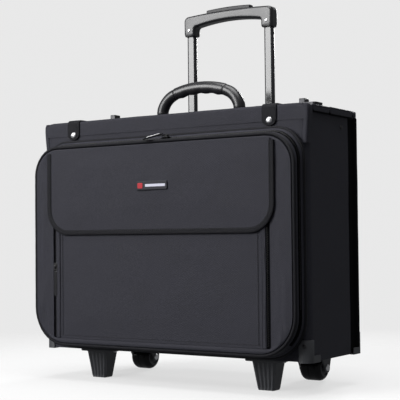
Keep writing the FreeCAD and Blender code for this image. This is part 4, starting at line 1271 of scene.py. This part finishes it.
def make_pocket_flap():
    """The padded flap with its bound edge."""
    low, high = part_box("flap_binding")
    cloth_low, cloth_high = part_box("pocket_flap")
    half = high.x
    corner = 40 * MM
    top_round = 3 * MM
    band = 8 * MM
    back_y = cloth_high.y

    def surface(x, z):
        """The flap is slightly full in the middle and drawn down along its binding."""
        edge = min(half - abs(x), z - low.z)
        full = smooth_step(edge, 4 * MM, 46 * MM)
        near_top = 1 - smooth_step(z, high.z - 30 * MM, high.z)
        wave = ripple((x, 0, z), 75 * MM, 9.0) + 0.45 * ripple((x, 0, z), 28 * MM, 3.0)
        pucker = 0.16 * ripple((x, 0, z), 9 * MM, 6.0) * (1 - full)
        return cloth_low.y + 0.5 * MM - (1.1 + 0.85 * wave) * full * near_top * MM - pucker * MM

    shape = bmesh.new()
    inner = band - 1.5 * MM
    rounds = (corner - inner, top_round)
    bottom = low.z + inner
    rows = heights_between(bottom, cloth_high.z, *rounds, 4 * MM)

    sections = []
    for z in rows:
        reach = rounded_half(z, half - inner, bottom, cloth_high.z, *rounds)
        facing, reverse = [], []
        for column in range(91):
            x = reach * (2 * column / 90 - 1)
            facing.append((x, surface(x, z), z))
            reverse.append((x, back_y - 0.2 * MM, z))
        sections.append(facing + reverse[::-1])
    loft(shape, sections)
    flap = finish_piece("flap_pad", shape, "case_fabric", "pocket_flap", ("pocket_flap",))

    outline = round_box(half, low.z, high.z, corner, top_round, (60, 16, 50, 2, 4))
    count = len(outline)
    edge_points = [index for index in range(count) if outline[index][1] < high.z - top_round]
    order = sorted(edge_points, key=lambda index: (index + count // 2) % count)
    shape = bmesh.new()
    rings = []
    for index in order:
        x, z, out_x, out_z = outline[index]
        ring = []
        wave = 0.18 * MM * ripple((x, 0, z), 14 * MM, 8.0)
        for inset, y in (
            (0.0, low.y + 1.6 * MM),
            (0.35 * MM, low.y + 0.45 * MM),
            (1.4 * MM, low.y - 0.1 * MM),
            (4.0 * MM, low.y - 0.15 * MM + wave),
            (band - 1.0 * MM, low.y + 0.1 * MM + wave),
            (band - 0.3 * MM, low.y + 0.5 * MM),
            (band - 0.3 * MM, low.y + 1.2 * MM),
            (band - 1.0 * MM, back_y - 0.2 * MM),
            (1.2 * MM, back_y),
            (0.2 * MM, back_y - 0.8 * MM),
        ):
            ring.append((x - out_x * inset, y, z - out_z * inset))
        rings.append(ring)
    loft(shape, rings)
    finish_piece("flap_edge_tape", shape, "binding", "pocket_flap", ("flap_binding",))
    line = []
    for index in order:
        x, z, out_x, out_z = outline[index]
        inset = band - 2.0 * MM
        line.append((x - out_x * inset, low.y - 0.05 * MM, z - out_z * inset))
    stitch("flap_edge_stitches", [line], (0, -1, 0), "pocket_flap")


def make_badge():
    """A small enamel plate: dark, with a red end and a pale bar, and no lettering."""
    low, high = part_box("badge")
    half, rise = high.x, (high.z - low.z) / 2
    face = low.y - 0.9 * MM
    place = upright(high.y) @ Matrix.Translation((0, (low.z + high.z) / 2, 0))
    plate = round_box(half, -rise, rise, 2.4 * MM, 2.4 * MM, (4, 5, 2, 5, 4))
    thick = high.y - face
    slab_piece(
        "badge_plate", "badge_enamel", "pocket_flap", plate, -0.5 * MM, thick, 0.8 * MM, place, ("badge",),
    )
    red = round_box(4.4 * MM, -3.9 * MM, 3.9 * MM, 1.2 * MM, 1.2 * MM, SMALL)
    shift = Matrix.Translation((-half + 7 * MM, 0, 0))
    slab_piece(
        "badge_red_field", "badge_red", "pocket_flap", red, thick - 0.3 * MM, thick + 0.35 * MM, 0.25 * MM,
        place @ shift,
    )
    bar = round_box(17.5 * MM, -1.9 * MM, 1.9 * MM, 0.8 * MM, 0.8 * MM, SMALL)
    shift = Matrix.Translation((6.5 * MM, 0, 0))
    slab_piece(
        "badge_pale_bar", "badge_pale", "pocket_flap", bar, thick - 0.3 * MM, thick + 0.3 * MM, 0.25 * MM,
        place @ shift,
    )


# ---------------------------------------------------------------- feet and wheels

FOOT_FLANGE = 5 * MM
FOOT_FLANGE_HALF = 30 * MM
FOOT_FLANGE_DEPTH = 18 * MM
FOOT_SOLE = (13.3 * MM, 10.2 * MM)
FOOT_TOP = (19.0 * MM, 15.5 * MM)
FOOT_RIB_DEPTH = 2.0 * MM


def make_feet():
    """Tapered feet with upright ribs on their faces, each on a flange."""
    low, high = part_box("feet")
    middle_y = (low.y + high.y) / 2
    offset = high.x - FOOT_FLANGE_HALF
    leg_top = high.z - FOOT_FLANGE
    shape = bmesh.new()
    for sign in SIDES.values():
        plate = round_box(FOOT_FLANGE_HALF, -FOOT_FLANGE_DEPTH, FOOT_FLANGE_DEPTH, 6 * MM, 6 * MM, SMALL)
        round_slab(shape, plate, leg_top, high.z, 1 * MM, Matrix.Translation((sign * offset, middle_y, 0)))
        rings = []
        levels = 14
        for level in range(levels + 1):
            z = (leg_top + 1 * MM) * (1 - level / levels)
            share = z / leg_top
            half = FOOT_SOLE[0] + (FOOT_TOP[0] - FOOT_SOLE[0]) * share
            deep = FOOT_SOLE[1] + (FOOT_TOP[1] - FOOT_SOLE[1]) * share
            fade = smooth_step(z, 0, 3 * MM) * (1 - smooth_step(z, leg_top - 3 * MM, leg_top))
            chamfer = 1.0 * MM * (1 - smooth_step(z, 0, 2 * MM))
            ring = []
            for x, y, out_x, out_y in round_box(half, -deep, deep, 3 * MM, 3 * MM, (24, 5, 16, 5, 24)):
                rib = 0.5 + 0.5 * math.cos(2 * math.pi * 2.5 * x / half)
                inset = chamfer + FOOT_RIB_DEPTH * (1 - rib ** 0.7) * fade * abs(out_y)
                ring.append((sign * offset + x - out_x * inset, middle_y + y - out_y * inset, z))
            rings.append(ring)
        loft(shape, rings)
    finish_piece("ribbed_feet", shape, "moulded_plastic", "case", ("feet",))


TREAD_ROUND = 9 * MM


def make_wheels():
    """Rubber tyres with a shallow groove, plastic hubs, housings and axles."""
    for side in SIDES:
        low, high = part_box(f"wheel_tyre_{side}")
        middle = (low + high) / 2
        radius = (high.z - low.z) / 2
        half = (high.x - low.x) / 2
        hub_radius = radius - 6 * MM
        flank = math.asin(1 - (radius - hub_radius) / TREAD_ROUND)
        steps = 8
        shoulder = []
        for step in range(steps + 1):
            angle = flank + (math.pi / 2 - flank) * step / steps
            run_in = TREAD_ROUND * (1 - math.cos(angle))
            drop = TREAD_ROUND * (1 - math.sin(angle))
            shoulder.append((-half + run_in, radius - drop))
        groove = [(-1.0 * MM, radius), (-0.7 * MM, radius - 0.6 * MM)]
        left_half = shoulder + groove
        profile = left_half + [(-x, r) for x, r in reversed(left_half)]
        shape = bmesh.new()
        rings = []
        for angle in around(64):
            y, z = math.cos(angle), math.sin(angle)
            rings.append([(middle.x + x, middle.y + r * y, middle.z + r * z) for x, r in profile])
        loft(shape, rings, closed=True)
        finish_piece(f"tyre_{side}", shape, "tyre_rubber", f"wheel_{side}", (f"wheel_tyre_{side}",))
        keep(f"wheel_hub_{side}", "moulded_plastic", 0.5 * MM)
    keep("wheel_housings", "moulded_plastic", 0.5 * MM)
    keep("wheel_axles", "rivet_metal")


# ---------------------------------------------------------------- telescopic handle

def make_trolley():
    """Tubes, brackets and collars behind the case."""
    keep("trolley_base", "moulded_plastic", 1.0 * MM)
    keep("trolley_top_bracket", "moulded_plastic", 1.0 * MM)
    keep("outer_tubes", "tube_metal", 0.25 * MM)
    keep("middle_tubes", "tube_metal", 0.25 * MM)
    keep("inner_tubes", "tube_metal", 0.2 * MM)
    keep("stage_collars", "grip_plastic", 0.3 * MM)


def grip_sides(end_low, end_high, bar_low, bar_high):
    """Matching points outside and inside the grip's right half, from its foot to its middle."""
    outer_round, inner_round = 8 * MM, 5 * MM
    outer_x = end_high.x
    inner_x = outer_x - 20 * MM
    elbow = end_high.z - 1 * MM
    underside = bar_low.z
    underside_bow = 5 * MM
    outer_run, inner_run = outer_x - outer_round, inner_x - inner_round
    outer_rise = elbow - outer_round - end_low.z
    inner_rise = underside - inner_round - end_low.z
    sides = []
    leg_steps, turn_steps, bar_steps = 5, 10, 18
    for step in range(leg_steps):
        share = step / leg_steps
        sides.append(((outer_x, end_low.z + outer_rise * share), (inner_x, end_low.z + inner_rise * share)))
    for step in range(turn_steps):
        angle = math.pi / 2 * step / turn_steps
        turn = Vector((math.cos(angle), math.sin(angle)))
        outside = Vector((outer_run, elbow - outer_round)) + turn * outer_round
        inside = Vector((inner_run, underside - inner_round)) + turn * inner_round
        sides.append((tuple(outside), tuple(inside)))
    for step in range(bar_steps + 1):
        share = 1 - step / bar_steps
        rise = 1 - share * share
        outside = (outer_run * share, elbow + (bar_high.z - elbow) * rise)
        inside = (inner_run * share, underside + underside_bow * rise)
        sides.append((outside, inside))
    return sides


def make_grip():
    """The moulded grip, its long button and the springs under it."""
    low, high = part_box("grip_ends")
    deep = (high.y - low.y) / 2
    middle_y = (high.y + low.y) / 2
    right = grip_sides(low, high, *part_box("grip_bar"))
    left = [((-outer[0], outer[1]), (-inner[0], inner[1])) for outer, inner in reversed(right[:-1])]
    stations = right + left
    edge = 4.2 * MM
    rings = []
    for order, (outer, inner) in enumerate(stations):
        outer, inner = Vector(outer), Vector(inner)
        thick = (outer - inner).length
        across = (outer - inner) / thick
        inset = 0.8 * MM if order in (0, len(stations) - 1) else 0.0
        section = round_box(deep - inset, inset, thick - inset, edge, edge, (3, 6, 4, 6, 3))
        ring = []
        for y, reach, _, _ in section:
            point = inner + across * reach
            ring.append((point.x, middle_y + y, point.y))
        rings.append(ring)
    shape = bmesh.new()
    loft(shape, rings)
    finish_piece("grip_moulding", shape, "grip_plastic", "grip", ("grip_ends", "grip_bar"))
    keep("grip_screws", "rivet_metal")

    low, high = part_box("grip_button")
    reach = high.x
    thick = (high.y - low.y) / 2
    outline = round_box(reach, -thick, thick, 2 * MM, 2 * MM, (24, 4, 4, 4, 24))

    def bow(point):
        """The button's top follows the bar's bow."""
        return -1.6 * MM * (point.x / reach) ** 2 * smooth_step(point.z, low.z, high.z)

    place = Matrix.Translation((0, (low.y + high.y) / 2, 0))
    slab_piece(
        "release_button", "button_plastic", "grip_button", outline, low.z, high.z, 1.6 * MM, place,
        ("grip_button",), bow,
    )

    low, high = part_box("button_springs")
    spring_radius = (high.y - low.y) / 2 - 0.35 * MM
    centre_x = high.x - (high.y - low.y) / 2
    turns = 5
    shape = bmesh.new()
    for sign in SIDES.values():
        stations = []
        count = turns * 16
        for step in range(count + 1):
            share = step / count
            angle = 2 * math.pi * turns * share
            out = Vector((math.cos(angle), math.sin(angle), 0))
            rise = low.z + 0.35 * MM + (high.z - low.z - 0.7 * MM) * share
            centre = Vector((sign * centre_x, (low.y + high.y) / 2, rise)) + out * spring_radius
            stations.append((centre, out, Vector((0, 0, 1)), 0.35 * MM, 0.35 * MM, 0.35 * MM))
        sweep(shape, stations)
    springs = finish_piece("button_coil_springs", shape, "rivet_metal", "grip", ("button_springs",))
    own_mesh(springs)


# ---------------------------------------------------------------- stage, light and camera

def disc(name, radius, height, material):
    """A flat disc round the object, facing up."""
    shape = bmesh.new()
    bmesh.ops.create_circle(shape, cap_ends=True, radius=radius, segments=96)
    mesh = bpy.data.meshes.new(name)
    shape.to_mesh(mesh)
    shape.free()
    mesh.materials.append(material)
    ground = bpy.data.objects.new(name, mesh)
    bpy.context.scene.collection.objects.link(ground)
    ground.location.z = height
    return ground


def make_floor_finish():
    """Pale floor paint that gives way to the backdrop away from the object."""
    finish = Finish("floor", 0.9)
    finish.colour((0.20, 0.20, 0.20), (0.21, 0.21, 0.21), finish.noise(3))
    finish.shader.inputs["Emission Color"].default_value = (1.0, 1.0, 1.0, 1.0)
    finish.shader.inputs["Emission Strength"].default_value = 0.62
    where = finish.add("ShaderNodeTexCoord")
    distance = finish.add("ShaderNodeVectorMath", operation="LENGTH")
    finish.link(where.outputs["Object"], distance.inputs[0])
    spread = finish.add("ShaderNodeMapRange")
    spread.inputs["From Min"].default_value = 0.30
    spread.inputs["From Max"].default_value = 0.95
    finish.link(distance.outputs["Value"], spread.inputs["Value"])
    clear = finish.add("ShaderNodeBsdfTransparent")
    blend = finish.add("ShaderNodeMixShader")
    finish.link(spread.outputs["Result"], blend.inputs[0])
    finish.link(finish.shader.outputs["BSDF"], blend.inputs[1])
    finish.link(clear.outputs["BSDF"], blend.inputs[2])
    output = next(node for node in finish.tree.nodes if node.type == "OUTPUT_MATERIAL")
    finish.link(blend.outputs["Shader"], output.inputs["Surface"])
    return finish.material


def make_backdrop():
    """An evenly lit pale dome, which is seen but gives no light."""
    material = bpy.data.materials.new("backdrop")
    material.use_nodes = True
    tree = material.node_tree
    glow = tree.nodes.new("ShaderNodeEmission")
    glow.inputs["Color"].default_value = (0.812, 0.812, 0.812, 1.0)
    output = next(node for node in tree.nodes if node.type == "OUTPUT_MATERIAL")
    tree.links.new(glow.outputs["Emission"], output.inputs["Surface"])
    shape = bmesh.new()
    bmesh.ops.create_icosphere(shape, subdivisions=4, radius=9.0)
    mesh = bpy.data.meshes.new("backdrop")
    shape.to_mesh(mesh)
    shape.free()
    mesh.materials.append(material)
    dome = bpy.data.objects.new("backdrop", mesh)
    bpy.context.scene.collection.objects.link(dome)
    dome.visible_diffuse = False
    dome.visible_glossy = False
    dome.visible_shadow = False


def make_stage():
    """A pale floor, a pale surround and soft lamps."""
    floor = disc("floor", 1.0, -0.2 * MM, make_floor_finish())
    floor.visible_diffuse = False
    floor.visible_glossy = False
    make_backdrop()
    bpy.context.scene.view_settings.view_transform = "Standard"
    world = bpy.data.worlds.new("Studio")
    bpy.context.scene.world = world
    world.use_nodes = True
    sky = next(node for node in world.node_tree.nodes if node.type == "BACKGROUND")
    sky.inputs["Color"].default_value = (0.95, 0.97, 1.0, 1.0)
    sky.inputs["Strength"].default_value = 0.2

    add_lamp("key", (-1.3, -2.1, 1.3), (0, 0, 0.42), 1.6, 100)
    add_lamp("top", (0.2, -0.3, 2.4), (0, 0, 0.4), 1.6, 52)
    add_lamp("back", (-0.3, 2.5, 1.3), (0, 0, 0.3), 0.6, 30)


def add_lamp(name, place, target, size, power):
    """A square soft lamp that faces a target."""
    lamp = bpy.data.lights.new(name, "AREA")
    lamp.size = size
    lamp.energy = power
    holder = bpy.data.objects.new(name, lamp)
    bpy.context.scene.collection.objects.link(holder)
    direction = Vector(target) - Vector(place)
    holder.location = place
    holder.rotation_euler = direction.to_track_quat("-Z", "Y").to_euler()


def make_camera():
    """The camera: long lens, low, to the right of the front, turned 34 degrees to the left."""
    yaw, pitch, roll = math.radians(33.725), math.radians(1.955), math.radians(-0.572)
    forward = Vector((-math.sin(yaw) * math.cos(pitch), math.cos(yaw) * math.cos(pitch), math.sin(pitch)))
    right = Vector((math.cos(yaw), math.sin(yaw), 0))
    up = right.cross(forward)
    tilted_right = math.cos(roll) * right + math.sin(roll) * up
    tilted_up = -math.sin(roll) * right + math.cos(roll) * up
    place = Vector((917.7 * MM, front - 1288.0 * MM, case_low + 167.0 * MM))
    columns = (tilted_right, tilted_up, -forward, place)
    camera = bpy.data.cameras.new("Camera")
    camera.sensor_width = 36
    camera.lens = 98.56
    camera.clip_end = 50
    holder = bpy.data.objects.new("Camera", camera)
    bpy.context.scene.collection.objects.link(holder)
    holder.matrix_world = Matrix([[column[row] for column in columns] for row in range(3)] + [[0, 0, 0, 1]])
    bpy.context.scene.camera = holder


make_materials()
make_walls()
make_divider()
make_hardware_on_body()
make_lid()
make_hinge_cloth()
make_hinge_corners()
make_straps()
make_locks()
make_handle()
make_pocket_walls()
make_main_zip()
make_main_slider()
make_pocket_front()
make_side_zips()
make_side_sliders()
make_pocket_flap()
make_badge()
make_feet()
make_wheels()
make_trolley()
make_grip()
make_stage()
make_camera()
